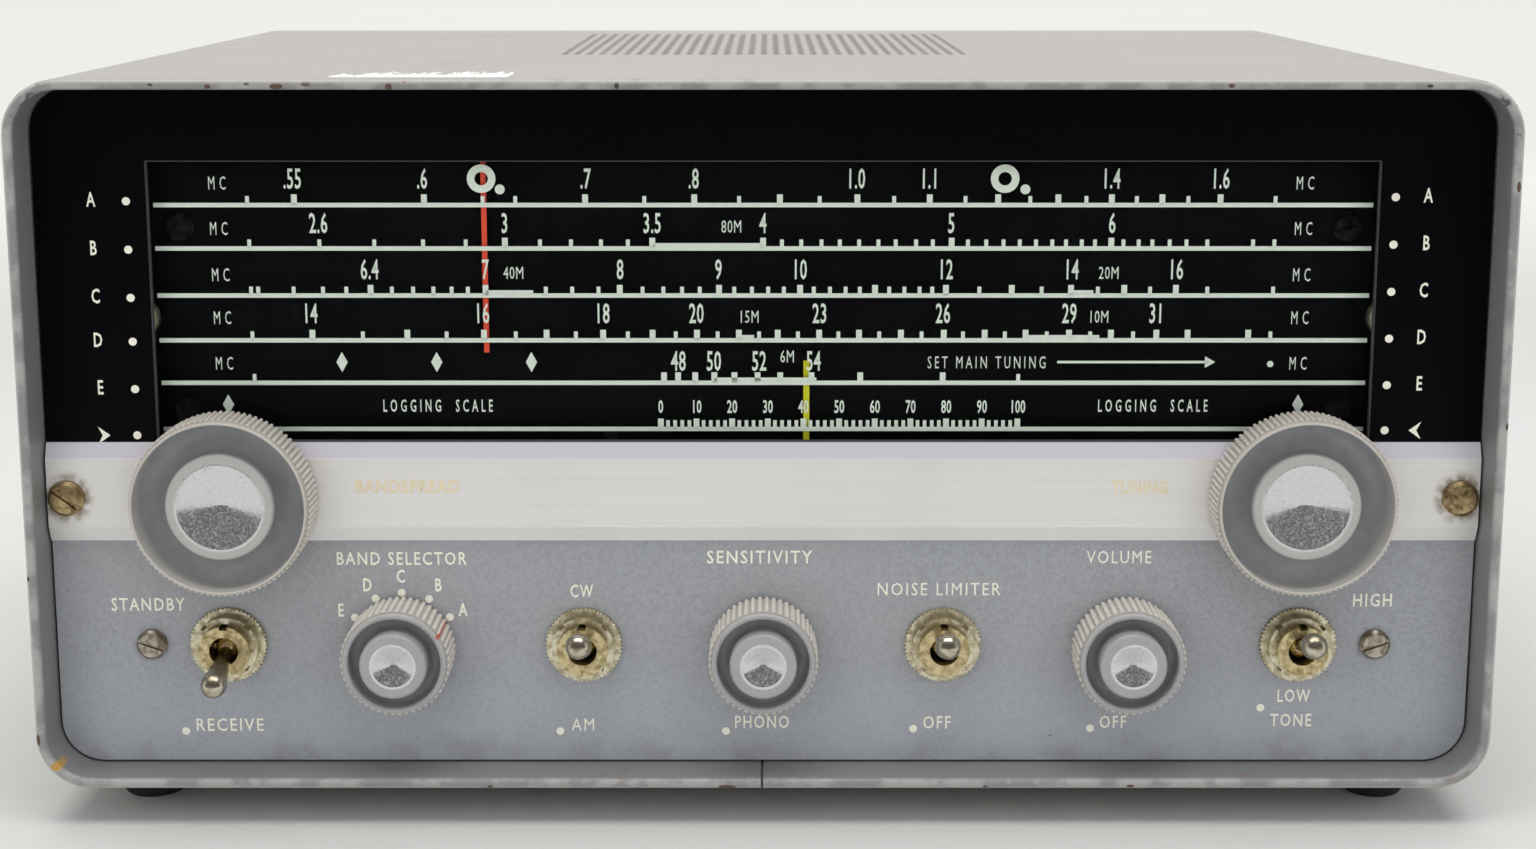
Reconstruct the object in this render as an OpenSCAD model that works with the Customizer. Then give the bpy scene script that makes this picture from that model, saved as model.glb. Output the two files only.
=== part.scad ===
/* [Cabinet] */
// Outer width of the cabinet
case_w = 340; // [334:2:360]
// Outer height of the cabinet, without its feet
case_h = 166; // [164:1:180]
// Depth of the cabinet, from the front rim to its back edge
case_d = 225; // [220:5:260]
// Outer radius of the four long corners
corner_r = 12.7; // [12:0.1:16]
// Thickness of the cabinet's steel sheet
wall_t = 1.2; // [0.9:0.1:1.5]
// Thickness of the doubled front rim
rim_t = 2.4; // [2:0.1:2.8]
// Width of the flange that the rear cover is screwed to
back_flange = 9; // [8.5:0.5:10]
// Height of a rubber foot
foot_h = 9; // [6:0.5:14]
// Diameter of a rubber foot
foot_d = 16; // [14:0.5:18]
// Distance of the front feet behind the front rim
foot_setback = 24; // [20:1:40]

/* [Grille] */
// Holes along each side of the grille
grille_n = 33; // [21:1:33]
// Distance between the centres of two grille holes
grille_pitch = 3.3; // [2.8:0.1:3.4]
// Diameter of a grille hole
grille_hole_d = 2; // [1.4:0.1:2.4]
// Distance from the grille to the cabinet's back edge
grille_margin = 23.1; // [14:0.1:40]

/* [Front panel] */
// How far the panel's face sits behind the rim
panel_recess = 11; // [9:0.5:14]
// Thickness of the front panel
panel_t = 1.6; // [1.2:0.1:2]
// Gap between the panel's edge and the rim
panel_gap = 0.6; // [0.4:0.1:0.9]
// Distance from the cabinet's side to the dial window
window_side = 29; // [28:0.5:34]
// Distance from the cabinet's top to the dial window
window_drop = 19.5; // [19:0.1:26]
// Height of the window's lower edge above the cabinet's underside
window_rise = 81.1; // [80.8:0.1:83]
// Thickness of the dial glass
glass_t = 2.5; // [2:0.1:3]
// Height of the metal trim strip
trim_h = 23.6; // [21:0.2:24]
// Height of the trim strip's lower edge above the cabinet's underside
trim_rise = 57.3; // [57:0.1:58]
// How far the trim strip stands out from the panel
trim_t = 2; // [1.5:0.1:2.4]
// Height of each bevel along the trim strip
trim_bevel = 3.6; // [2.5:0.1:4.5]

/* [Controls] */
// Distance from the cabinet's side to a tuning shaft
tune_side = 45.3; // [43:0.1:48]
// Height of the tuning shafts above the cabinet's underside
tune_rise = 68; // [67.5:0.1:68.5]
// Distance from the cabinet's side to an outer toggle
toggle_side = 43.6; // [41:0.1:46]
// Distance from an outer toggle to the knob beside it
outer_step = 40.9; // [38:0.1:42]
// Distance from an inner toggle to the knob on its outer side
inner_step = 43.1; // [40:0.1:44]
// Height of the small controls above the cabinet's underside
control_rise = 31; // [29:0.1:32]
// Height of the toggles above the cabinet's underside
toggle_rise = 31.9; // [30:0.1:33]
// Radius of every round control shaft
shaft_r = 3.175; // [2.9:0.025:3.3]
// Angle from one stop of a toggle to the other
toggle_throw = 35; // [24:1:36]
// Length of a toggle's lever, from its pivot to its tip
lever_l = 15.5; // [12:0.5:17]

/* [Knobs] */
// Outer radius of a tuning knob
big_knob_r = 21; // [18:0.1:22]
// Distance from the panel's face to a tuning knob's front
big_knob_reach = 12.5; // [12:0.1:14]
// Flutes round a tuning knob
big_flutes = 96; // [72:12:108]
// Radius of a tuning knob's centre boss
big_boss_r = 12.6; // [12:0.1:14]
// Outer radius of a small knob
small_knob_r = 12.7; // [12.4:0.1:14]
// Distance from the panel's face to a small knob's rim
small_knob_reach = 12.3; // [11.5:0.1:14]
// Flutes round a small knob
small_flutes = 48; // [36:4:54]
// Radius of a small knob's centre boss
small_boss_r = 7.8; // [7.2:0.1:8.2]
// Gap between a knob and the surface behind it
knob_gap = 0.8; // [0.5:0.1:1.2]
// Thickness of a tuning knob's rim
big_wall = 1.3; // [1.1:0.05:1.8]
// Thickness of a small knob's rim
small_wall = 2; // [1.6:0.1:2.4]
// Depth of the channel in a tuning knob's front
big_dish = 8.3; // [6:0.1:8.5]
// Depth of the channel in a small knob's front
small_dish = 5; // [3:0.1:7]
// Depth of the flutes
flute_depth = 0.55; // [0.3:0.05:0.7]

/* [Dial drive] */
// Distance from the window's side to the main pointer's last place
scale_margin = 22.2; // [21:0.1:30]
// Travel of the bandspread pointer
spread_travel = 84; // [80:0.5:88]
// Place of the main pointer, from the centre line
main_pointer_x = -64.7; // [-118:0.1:118]
// Place of the bandspread pointer, from the centre line
spread_pointer_x = 10.1; // [-20:0.1:55]
// Radius at which the cord's centre runs on a tuning spindle
spindle_cord_r = 4; // [3.8:0.1:4.4]
// Radius of the dial cord
cord_r = 0.4; // [0.3:0.05:0.45]
// Teeth of the pinion on the main drum
pinion_teeth = 24; // [24:1:24]
// Teeth of the gear on the tuning gang
gear_teeth = 48; // [48:1:48]
// Thickness of the gears
gear_t = 5; // [3:0.5:5]

/* [Tuning gangs] */
// Radius of the rotor plates
rotor_r = 17; // [14:0.5:18]
// Thickness of a gang plate
gang_plate_t = 0.6; // [0.4:0.1:0.7]
// Distance from one rotor plate to the next
gang_pitch = 2; // [1.8:0.1:2.1]
// Rotor plates in each section of the tuning gang
main_plates = 9; // [5:1:9]
// Rotor plates in the bandspread gang
spread_plates = 5; // [3:1:7]

/* [Chassis] */
// Height of the chassis top above the cabinet's underside
chassis_rise = 52; // [51.5:0.1:52.4]
// Thickness of the chassis plate
chassis_t = 1.2; // [1:0.1:1.5]
// Distance from the cabinet's side to the chassis
chassis_gap = 15; // [14:0.5:16]
// Radius of the loudspeaker's frame
speaker_r = 62; // [60:0.5:63]
// Depth of the loudspeaker, from its rim to its magnet
speaker_depth = 48; // [40:1:52]

/* [Hidden] */
$fn = 64;

// Planes of the cabinet; the part stands on z = 0 and y = 0 is halfway along its depth
front_y = -case_d / 2;
back_y = case_d / 2;
floor_z = foot_h;
mid_z = foot_h + case_h / 2;
top_z = foot_h + case_h;
inner_floor_z = floor_z + wall_t;
inner_top_z = top_z - wall_t;
over = 1;

// Front panel and what lies behind it, from front to back
panel_y = front_y + panel_recess;
panel_back = panel_y + panel_t;
panel_w = case_w - 2 * (rim_t + panel_gap);
panel_h = case_h - 2 * (rim_t + panel_gap);
panel_r = corner_r - rim_t - panel_gap;
hem_depth = panel_recess + panel_t;
glass_back = panel_back + glass_t;
pointer_gap = 1.2;
pointer_t = 0.6;
pointer_y = glass_back + pointer_gap;
plate_gap = 1.6;
dial_plate_t = 1;
dial_plate_y = pointer_y + pointer_t + plate_gap;
dial_plate_back = dial_plate_y + dial_plate_t;
window_w = case_w - 2 * window_side;
window_h = case_h - window_rise - window_drop;
window_z = floor_z + window_rise;
window_top = window_z + window_h;
trim_z = floor_z + trim_rise;
glass_lap = 4;
glass_w = window_w + 12;

// Chassis
chassis_w = case_w - 2 * chassis_gap;
chassis_top = floor_z + chassis_rise;
chassis_back = back_y - 4.3;
apron_back = panel_back + chassis_t;
flange_w = 12;
foot_x = chassis_w / 2 - flange_w / 2;
foot_ys = [front_y + foot_setback, back_y - 25];
panel_screw_x = chassis_w / 2 - 10.4;
trim_screw_x = panel_w / 2 - 4.6;

// Control places
tune_x = case_w / 2 - tune_side;
toggle_out_x = case_w / 2 - toggle_side;
control_x = toggle_out_x - outer_step;
toggle_in_x = control_x - inner_step;
tune_z = floor_z + tune_rise;
control_z = floor_z + control_rise;
toggle_z = floor_z + toggle_rise;
bushing_r = 4.76;
toggle_bushing_r = 5.95;
toggle_bore_r = 3.4;
run_gap = 0.05;
screw_r = 1.9;
toggle_xs = [-toggle_out_x, -toggle_in_x, toggle_in_x, toggle_out_x];

// Rear cover
cover_inset = 2;
cover_t = 1.2;
cover_w = case_w - 2 * cover_inset;
cover_h = case_h - 2 * cover_inset;
cover_screw_inset = 5.5;
cover_screws = [
    [-case_w / 2 + 32, top_z - cover_screw_inset], [case_w / 2 - 32, top_z - cover_screw_inset],
    [-case_w / 2 + 32, floor_z + cover_screw_inset], [case_w / 2 - 32, floor_z + cover_screw_inset],
    [-case_w / 2 + cover_screw_inset, mid_z], [case_w / 2 - cover_screw_inset, mid_z]
];
jack_x = 70;
grommet_x = -90;
grommet_hole_r = 6.35;
rear_z = floor_z + 28;
rear_window_w = case_w - 120;
rear_window_h = 34;
cover_slot_w = 4;
cover_slot_h = (top_z - chassis_top - 46) / 2;
cover_slot_pitch = (case_w - 88) / 18;

// Grille and loudspeaker
grille_side = grille_n * grille_pitch;
grille_y = back_y - grille_margin - grille_side;
speaker_y = grille_y + grille_side / 2;
stud_r = 1.9;
speaker_stud_r = speaker_r - 3.5;
speaker_flange_t = 1.5;

// Dial drive; each wheel is its centre x, its centre z, its cord radius and its sense
guide_r = 5;
guide_x = window_w / 2 - 3;
main_travel = window_w - 2 * scale_margin;
main_run_z = top_z - rim_t - panel_gap - 10;
main_y = dial_plate_back + 10;
spread_y = dial_plate_back + 3;
main_drum_r = main_travel / (2 * PI) * (gear_teeth / pinion_teeth) / 2;
spread_drum_r = spread_travel / PI;
gear_module = 1;
gang_x = 35;
gang_rise = 27;
gang_z = chassis_top + gang_rise;
gear_distance = gear_module * (gear_teeth + pinion_teeth) / 2;
drum_z = (chassis_top + main_run_z) / 2 + 1.5;
drum_x = gang_x + sqrt(gear_distance * gear_distance - (drum_z - gang_z) * (drum_z - gang_z));
gear_angle = atan2(drum_z - gang_z, drum_x - gang_x);
spread_x = -72;
spread_rise = 45;
spread_z = chassis_top + spread_rise;
spread_run_z = tune_z + 7;
spread_guide_left = -36;
spread_guide_right = 72;
main_wheels = [
    [-guide_x, main_run_z - guide_r, guide_r, -1],
    [guide_x, main_run_z - guide_r, guide_r, -1],
    [tune_x, tune_z, spindle_cord_r, -1],
    [drum_x, drum_z, main_drum_r, -1]
];
// For each wheel: full extra turns, degrees for each point, y on entering, y on leaving
main_wraps = [
    [0, 30, main_y, main_y],
    [0, 30, main_y, main_y],
    [2, 24, main_y, main_y + 2.6],
    [1, 8, main_y + 2.6, main_y + 1.1]
];
spread_wheels = [
    [spread_guide_left, spread_run_z + guide_r, guide_r, 1],
    [spread_guide_right, spread_run_z - guide_r, guide_r, -1],
    [-tune_x, tune_z, spindle_cord_r, -1],
    [spread_x, spread_z, spread_drum_r, -1]
];
spread_wraps = [
    [0, 30, spread_y, spread_y],
    [0, 30, spread_y, spread_y],
    [2, 24, spread_y, spread_y + 2.6],
    [1, 8, spread_y + 2.6, spread_y + 0.8]
];
cord_gap = 0.3;
main_fraction = (main_pointer_x + main_travel / 2) / main_travel;
spread_centre = 17.7;
spread_fraction = (spread_pointer_x - spread_centre + spread_travel / 2) / spread_travel;
main_rotor_angle = 180 * main_fraction;
spread_rotor_angle = -180 * spread_fraction;
drum_front = main_y - 1;
drum_back = main_y + 4.5;
gear_y = drum_back + 1;
gang_front = gear_y + gear_t + 2.5;
gang_frame_t = 1.5;
section_l = main_plates * gang_pitch;
gang_back = gang_front + gang_frame_t + 2 * section_l + 8;
spread_front = main_y + 9;
spread_back = spread_front + gang_frame_t + spread_plates * gang_pitch + 8;
spindle_bracket_y = main_y + 7;

// Helpers that place things along the depth of the receiver
module rod_y(x, z, y0, y1, r) {
    translate([x, y0, z]) rotate([-90, 0, 0]) cylinder(h = y1 - y0, r = r);
}

module plate_y(y0, t) {
    translate([0, y0 + t, 0]) rotate([90, 0, 0]) linear_extrude(t) children();
}

module turned_back(x, y, z) {
    translate([x, y, z]) rotate([-90, 0, 0]) rotate_extrude() children();
}

module turned_front(x, y, z) {
    translate([x, y, z]) rotate([90, 0, 0]) rotate_extrude() children();
}

module block(low, high) {
    translate(low) cube(high - low);
}

module rounded_rect(w, h, r) {
    square([w, h - 2 * r], center = true);
    square([w - 2 * r, h], center = true);
    for (sx = [-1, 1]) for (sy = [-1, 1])
        translate([sx * (w / 2 - r), sy * (h / 2 - r)]) circle(r = r);
}

module slot_2d(x, z, w, h) {
    translate([x, z]) square([w, h - w], center = true);
    for (s = [-1, 1]) translate([x, z + s * (h - w) / 2]) circle(r = w / 2);
}

// A slotted screw whose head faces the front; depth is the length of its shank
module slotted_screw(x, y, z, head_r, head_h, depth, turn) {
    difference() {
        turned_front(x, y, z) polygon([
            [0, -depth], [screw_r, -depth], [screw_r, 0], [head_r, 0],
            [head_r, 0.55 * head_h], [0.8 * head_r, 0.9 * head_h], [0, head_h]
        ]);
        translate([x, y - head_h, z]) rotate([0, turn, 0]) cube([3 * head_r, 1.2, 0.9], center = true);
    }
}

// Section of the cabinet's sheet: x runs inwards from the outside, y runs back from the rim
module wall_profile() {
    translate([0, rim_t / 2]) square([wall_t, case_d - rim_t / 2]);
    translate([0, rim_t / 2]) square([rim_t, hem_depth - rim_t / 2]);
    translate([rim_t / 2, rim_t / 2]) circle(r = rim_t / 2);
    translate([0, case_d - wall_t]) square([back_flange, wall_t]);
}

module cabinet_shell() {
    for (k = [0:3]) {
        side = k % 2 == 0 ? case_w : case_h;
        reach = k % 2 == 0 ? case_h : case_w;
        translate([0, front_y, mid_z]) rotate([0, 90 * k, 0]) {
            translate([0, 0, -reach / 2]) rotate([0, -90, 0])
                linear_extrude(side - 2 * corner_r, center = true) wall_profile();
            translate([side / 2 - corner_r, 0, corner_r - reach / 2]) rotate([-90, 0, 0])
                rotate_extrude(angle = 90) translate([corner_r, 0]) mirror([1, 0]) wall_profile();
        }
    }
}

module cabinet() {
    color([0.66, 0.67, 0.66]) {
        difference() {
            cabinet_shell();
            translate([-grille_side / 2, grille_y, inner_top_z - over])
                cube([grille_side, grille_side, wall_t + 2 * over]);
            for (sx = [-1, 1]) for (y = foot_ys)
                translate([sx * foot_x, y, floor_z - over]) cylinder(h = wall_t + 2 * over, r = screw_r);
            for (p = cover_screws) rod_y(p[0], p[1], back_y - wall_t - over, back_y + over, screw_r);
        }
        for (a = [0:90:270])
            translate([speaker_stud_r * cos(a), speaker_y + speaker_stud_r * sin(a), inner_top_z - 7])
                cylinder(h = 7 + wall_t / 2, r = stud_r);
    }
}

// The punched field of the top sheet, flush with the sheet round it
module grille() {
    color([0.66, 0.67, 0.66]) translate([0, grille_y, inner_top_z]) linear_extrude(wall_t) difference() {
        translate([-grille_side / 2, 0]) square(grille_side);
        for (i = [0.5:grille_n]) for (j = [0.5:grille_n])
            translate([i * grille_pitch - grille_side / 2, j * grille_pitch]) circle(r = grille_hole_d / 2);
    }
}

module feet() {
    color([0.08, 0.08, 0.08]) for (sx = [-1, 1]) for (y = foot_ys)
        translate([sx * foot_x, y, 0]) rotate_extrude() polygon([
            [4.6, 0], [foot_d / 2 - 1.2, 0], [foot_d / 2 - 0.6, 0.6], [foot_d / 2, foot_h],
            [screw_r, foot_h], [screw_r, foot_h / 2], [4.6, foot_h / 2]
        ]);
}

module case_screws() {
    color([0.55, 0.55, 0.56]) {
        for (sx = [-1, 1]) for (y = foot_ys) translate([sx * foot_x, y, foot_h / 2])
            difference() {
                rotate_extrude() polygon([
                    [0, -2], [3.2, -2], [4, -1], [4, 0], [screw_r, 0], [screw_r, foot_h / 2 + 5.4], [0, foot_h / 2 + 5.4]
                ]);
                translate([0, 0, -2]) cube([10, 0.9, 1.6], center = true);
            }
        for (p = cover_screws) difference() {
            turned_back(p[0], back_y + cover_t, p[1]) polygon([
                [0, -cover_t - wall_t - 3], [screw_r, -cover_t - wall_t - 3], [screw_r, 0], [4, 0],
                [4, 1], [3.2, 2], [0, 2.1]
            ]);
            translate([p[0], back_y + cover_t + 2, p[1]]) cube([10, 1.6, 0.9], center = true);
        }
    }
}

module rear_cover() {
    color([0.5, 0.51, 0.5]) plate_y(back_y, cover_t) difference() {
        translate([0, mid_z]) rounded_rect(cover_w, cover_h, corner_r - cover_inset);
        translate([0, rear_z]) square([rear_window_w, rear_window_h], center = true);
        for (p = cover_screws) translate(p) circle(r = screw_r);
        for (i = [-9:9]) for (j = [0.5, 1.5])
            slot_2d(i * cover_slot_pitch, chassis_top + 5 + j * (cover_slot_h + 12), cover_slot_w, cover_slot_h);
    }
}

module front_panel() {
    color([0.47, 0.49, 0.51]) plate_y(panel_y, panel_t) difference() {
        translate([0, mid_z]) rounded_rect(panel_w, panel_h, panel_r);
        translate([0, window_z + window_h / 2]) square([window_w, window_h], center = true);
        for (s = [-1, 1]) {
            translate([s * tune_x, tune_z]) circle(r = bushing_r);
            translate([s * trim_screw_x, tune_z]) circle(r = screw_r);
            translate([s * panel_screw_x, toggle_z]) circle(r = screw_r);
        }
        for (x = [-control_x, 0, control_x]) translate([x, control_z]) circle(r = bushing_r);
        for (x = toggle_xs) translate([x, toggle_z]) circle(r = toggle_bushing_r);
    }
}

module trim_strip() {
    edge = 0.5;
    color([0.74, 0.72, 0.66]) difference() {
        translate([0, panel_y, trim_z]) rotate([0, -90, 0]) linear_extrude(panel_w, center = true)
            polygon([
                [0, 0], [0, -edge], [trim_bevel, -trim_t], [trim_h - trim_bevel, -trim_t],
                [trim_h, -edge], [trim_h, 0]
            ]);
        for (s = [-1, 1]) {
            rod_y(s * tune_x, tune_z, panel_y - trim_t - over, panel_y + over, bushing_r);
            rod_y(s * trim_screw_x, tune_z, panel_y - trim_t - over, panel_y + over, screw_r);
        }
    }
}

module front_screws() {
    color([0.66, 0.56, 0.36]) for (s = [-1, 1])
        slotted_screw(s * trim_screw_x, panel_y - trim_t, tune_z, 4.2, 1.9, trim_t + panel_t + 5, 38);
    color([0.62, 0.61, 0.57]) for (s = [-1, 1])
        slotted_screw(s * panel_screw_x, panel_y, toggle_z, 3.6, 1.8, panel_t + chassis_t + 4, -20 * s);
}

module dial_glass() {
    color([0.75, 0.85, 0.85, 0.35])
        block([-glass_w / 2, panel_back, window_z - glass_lap],
            [glass_w / 2, glass_back, window_top + glass_lap]);
}

// Places on the dial plate: its screws, the lamps and the slot for the bandspread pointer
dial_screw_x = window_w / 2 - 5;
dial_screw_zs = [window_z + 5.5, window_top - 16];
lamp_x = window_w / 2 + 6;
lamp_z = (dial_screw_zs[0] + dial_screw_zs[1]) / 2;
slot_left = spread_guide_left + guide_r + 1.4;
slot_right = spread_guide_right - guide_r - 1.4;
dial_plate_bottom = chassis_top + 6;
dial_plate_top = main_run_z + 3;
dial_plate_w = chassis_w - 10;

module dial_plate() {
    color([0.07, 0.08, 0.09]) plate_y(dial_plate_y, dial_plate_t) difference() {
        translate([-dial_plate_w / 2, dial_plate_bottom])
            square([dial_plate_w, dial_plate_top - dial_plate_bottom]);
        for (s = [-1, 1]) {
            translate([s * tune_x, tune_z]) circle(r = 6.5);
            translate([s * lamp_x, lamp_z]) circle(r = 6);
            for (z = dial_screw_zs) translate([s * dial_screw_x, z]) circle(r = screw_r);
        }
        for (w = [main_wheels[0], main_wheels[1], spread_wheels[0], spread_wheels[1]])
            translate([w[0], w[1]]) circle(r = 2);
        translate([slot_left, spread_run_z + 0.6]) square([slot_right - slot_left, 3]);
    }
}

module dial_plate_screws() {
    color([0.3, 0.27, 0.22]) for (s = [-1, 1]) for (z = dial_screw_zs)
        slotted_screw(s * dial_screw_x, dial_plate_y, z, 3.4, 1.2, dial_plate_t + 4, 30 * s + z);
}

module side_brackets() {
    t = 1.2;
    web_x = chassis_w / 2 - t;
    reach = 52;
    height = dial_plate_top - chassis_top;
    color([0.62, 0.63, 0.64]) for (s = [0, 1]) mirror([s, 0, 0]) difference() {
        union() {
            translate([web_x, panel_back, chassis_top]) rotate([90, 0, 90]) linear_extrude(t)
                polygon([[0, 0], [reach, 0], [reach, 14], [16, height], [0, height]]);
            block([web_x, panel_back, chassis_top + 1], [panel_w / 2 - 1, panel_back + t, window_top]);
            for (z = [window_z + 4, window_top - 16])
                block([window_w / 2 + 2, glass_back, z], [web_x + t, glass_back + t, z + 11]);
            for (z = dial_screw_zs)
                block([dial_screw_x - 7, dial_plate_back, z - 6], [web_x + t, dial_plate_back + t, z + 6]);
            block([web_x - 10, panel_back + 16, chassis_top], [web_x + t, panel_back + reach, chassis_top + t]);
        }
        rod_y(trim_screw_x, tune_z, panel_back - over, panel_back + t + over, screw_r);
        for (z = dial_screw_zs)
            rod_y(dial_screw_x, z, dial_plate_back - over, dial_plate_back + t + over, screw_r);
    }
}

// Places of what stands on the chassis, as x and y
side_x = chassis_w / 2;
tube_places = [
    [-20, front_y + 64.5], [side_x - 67, front_y + 84.5], [43 - side_x, front_y + 94.5],
    [-30, gang_back + 26.5], [-30, back_y - 62.5]
];
can_places = [[8, gang_back + 20.5], [8, back_y - 60.5]];
transformer_place = [45 - side_x, back_y - 60.5];
output_place = [side_x - 45, back_y - 84.5];
capacitor_place = [side_x - 43, back_y - 34.5];
coil_places = [for (x = [-40.5, 39.5]) for (y = [54.5, 84.5]) [x - control_x, front_y + y]];
power_core = [60, 26, 50];
output_core = [38, 16, 32];
socket_hole_r = 8;
can_hole_r = 7;
capacitor_r = 12.7;

module chassis() {
    color([0.68, 0.69, 0.7]) {
        difference() {
            block([-chassis_w / 2, panel_back, inner_floor_z], [chassis_w / 2, chassis_back, chassis_top]);
            block([chassis_t - chassis_w / 2, apron_back, inner_floor_z - over],
                [chassis_w / 2 - chassis_t, chassis_back - chassis_t, chassis_top - chassis_t]);
            for (x = [-control_x, 0, control_x])
                rod_y(x, control_z, panel_back - over, apron_back + over, bushing_r);
            for (x = toggle_xs) rod_y(x, toggle_z, panel_back - over, apron_back + over, toggle_bushing_r);
            for (s = [-1, 1]) rod_y(s * panel_screw_x, toggle_z, panel_back - over, apron_back + over, screw_r);
            rod_y(jack_x, rear_z, chassis_back - chassis_t - over, chassis_back + over, bushing_r);
            rod_y(grommet_x, rear_z, chassis_back - chassis_t - over, chassis_back + over, grommet_hole_r);
            block([-19, chassis_back - chassis_t - over, rear_z - 4], [19, chassis_back + over, rear_z + 4]);
            for (p = tube_places) translate([p[0], p[1], chassis_top - chassis_t - over])
                cylinder(h = chassis_t + 2 * over, r = socket_hole_r);
            for (p = can_places) translate([p[0], p[1], chassis_top - chassis_t - over])
                cylinder(h = chassis_t + 2 * over, r = can_hole_r);
            for (p = [transformer_place, output_place, capacitor_place])
                translate([p[0], p[1], chassis_top - chassis_t - over])
                    cylinder(h = chassis_t + 2 * over, r = can_hole_r);
        }
        for (s = [0, 1]) mirror([s, 0, 0]) difference() {
            block([chassis_w / 2 - flange_w, apron_back, inner_floor_z],
                [chassis_w / 2 - chassis_t, chassis_back - chassis_t, inner_floor_z + chassis_t]);
            for (y = foot_ys) translate([foot_x, y, inner_floor_z - over])
                cylinder(h = chassis_t + 2 * over, r = screw_r);
        }
    }
}

module spindle_bushings() {
    front = panel_y - trim_t;
    color([0.7, 0.6, 0.38]) for (s = [-1, 1]) turned_back(s * tune_x, front, tune_z) polygon([
        [shaft_r + run_gap, 0], [bushing_r, 0], [bushing_r, trim_t + panel_t],
        [7, trim_t + panel_t], [7, trim_t + panel_t + 1.6], [bushing_r, trim_t + panel_t + 1.6],
        [bushing_r, trim_t + panel_t + 4.4], [shaft_r + run_gap, trim_t + panel_t + 4.4]
    ]);
}

module spindle_brackets() {
    t = 1.6;
    rise = tune_z - chassis_top;
    color([0.62, 0.63, 0.64]) for (s = [-1, 1]) translate([s * tune_x, 0, 0]) {
        plate_y(spindle_bracket_y, t) difference() {
            union() {
                translate([-9, chassis_top]) square([18, rise]);
                translate([0, tune_z]) circle(r = 9);
            }
            translate([0, tune_z]) circle(r = shaft_r + run_gap);
        }
        block([-9, spindle_bracket_y - 4, chassis_top], [9, spindle_bracket_y, chassis_top + t]);
    }
}

// A fixed cord guide with a groove, riveted in the dial plate
module cord_guide(w, y) {
    deep = w[2] - cord_r - cord_gap;
    turned_back(w[0], dial_plate_y, w[1]) polygon([
        [0, 0], [2, 0], [2, dial_plate_t], [3, dial_plate_t],
        [3, y - dial_plate_y - 1.6], [w[2] + 1, y - dial_plate_y - 1.6],
        [deep, y - dial_plate_y - 0.8], [deep, y - dial_plate_y + 0.8],
        [w[2] + 1, y - dial_plate_y + 1.6], [0, y - dial_plate_y + 1.6]
    ]);
}

module drive_studs() {
    color([0.72, 0.62, 0.4]) {
        for (w = [main_wheels[0], main_wheels[1]]) cord_guide(w, main_y);
        for (w = [spread_wheels[0], spread_wheels[1]]) cord_guide(w, spread_y);
        turned_back(drum_x, drum_front - 1.6, drum_z) polygon([
            [0, 0], [4.4, 0], [4.4, 1.2], [shaft_r, 1.2],
            [shaft_r, gang_front - drum_front + 1.6 + gang_frame_t], [0, gang_front - drum_front + 1.6 + gang_frame_t]
        ]);
    }
}

// Dial cords: arcs round the wheels, joined by straight runs
function line_angle(a, b) =
    let (dx = b[0] - a[0], dz = b[1] - a[1])
    atan2(dz, dx) + asin((a[3] * a[2] - b[3] * b[2]) / norm([dx, dz]));

function wrap_points(prev, w, next, wrap) =
    let (
        come = line_angle(prev, w),
        leave = line_angle(w, next),
        turn = w[3] * (leave - come),
        sweep = turn - 360 * floor(turn / 360) + 360 * wrap[0],
        steps = max(2, ceil(sweep / wrap[1])),
        start = come - 90 * w[3]
    )
    [for (k = [0:steps]) let (a = start + w[3] * sweep * k / steps, y = wrap[2] + (wrap[3] - wrap[2]) * k / steps)
        [w[0] + w[2] * cos(a), y, w[1] + w[2] * sin(a)]];

function cord_path(wheels, wraps) =
    let (n = len(wheels))
    [for (i = [0:n - 1]) each wrap_points(wheels[(i + n - 1) % n], wheels[i], wheels[(i + 1) % n], wraps[i])];

function unit(v) = v / norm(v);

cord_sides = 6;

module closed_tube(path, r) {
    n = len(path);
    points = [
        for (i = [0:n - 1])
            let (
                along = unit(unit(path[(i + 1) % n] - path[i]) + unit(path[i] - path[(i + n - 1) % n])),
                side = unit(cross(along, [0, 1, 0])),
                up = cross(side, along)
            )
            for (k = [0:cord_sides - 1])
                path[i] + r * (cos(360 * k / cord_sides) * side + sin(360 * k / cord_sides) * up)
    ];
    faces = [
        for (i = [0:n - 1]) for (k = [0:cord_sides - 1])
            let (
                a = i * cord_sides + k,
                b = i * cord_sides + (k + 1) % cord_sides,
                c = ((i + 1) % n) * cord_sides + k,
                d = ((i + 1) % n) * cord_sides + (k + 1) % cord_sides
            )
            each [[a, b, d], [a, d, c]]
    ];
    polyhedron(points = points, faces = faces);
}

module main_cord() {
    color([0.82, 0.8, 0.7]) closed_tube(cord_path(main_wheels, main_wraps), cord_r);
}

module bandspread_cord() {
    color([0.82, 0.8, 0.7]) closed_tube(cord_path(spread_wheels, spread_wraps), cord_r);
}

// Involute gear outline, centred, with one tooth on the positive x axis
function roll(r, base) = r <= base ? 0 : tan(acos(base / r)) * 180 / PI - acos(base / r);

function gear_points(teeth) =
    let (
        pitch_r = gear_module * teeth / 2,
        base = pitch_r * cos(20),
        play = 0.08,
        half = 90 / teeth - play / pitch_r * 180 / PI + roll(pitch_r, base),
        radii = [pitch_r - 1.25 * gear_module, max(base, pitch_r - 0.8 * gear_module), pitch_r, pitch_r + 0.95 * gear_module]
    )
    [for (i = [0:teeth - 1]) each concat(
        [for (k = [0:3]) radii[k] * [cos(360 * i / teeth - half + roll(radii[k], base)), sin(360 * i / teeth - half + roll(radii[k], base))]],
        [for (k = [3:-1:0]) radii[k] * [cos(360 * i / teeth + half - roll(radii[k], base)), sin(360 * i / teeth + half - roll(radii[k], base))]]
    )];

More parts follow.
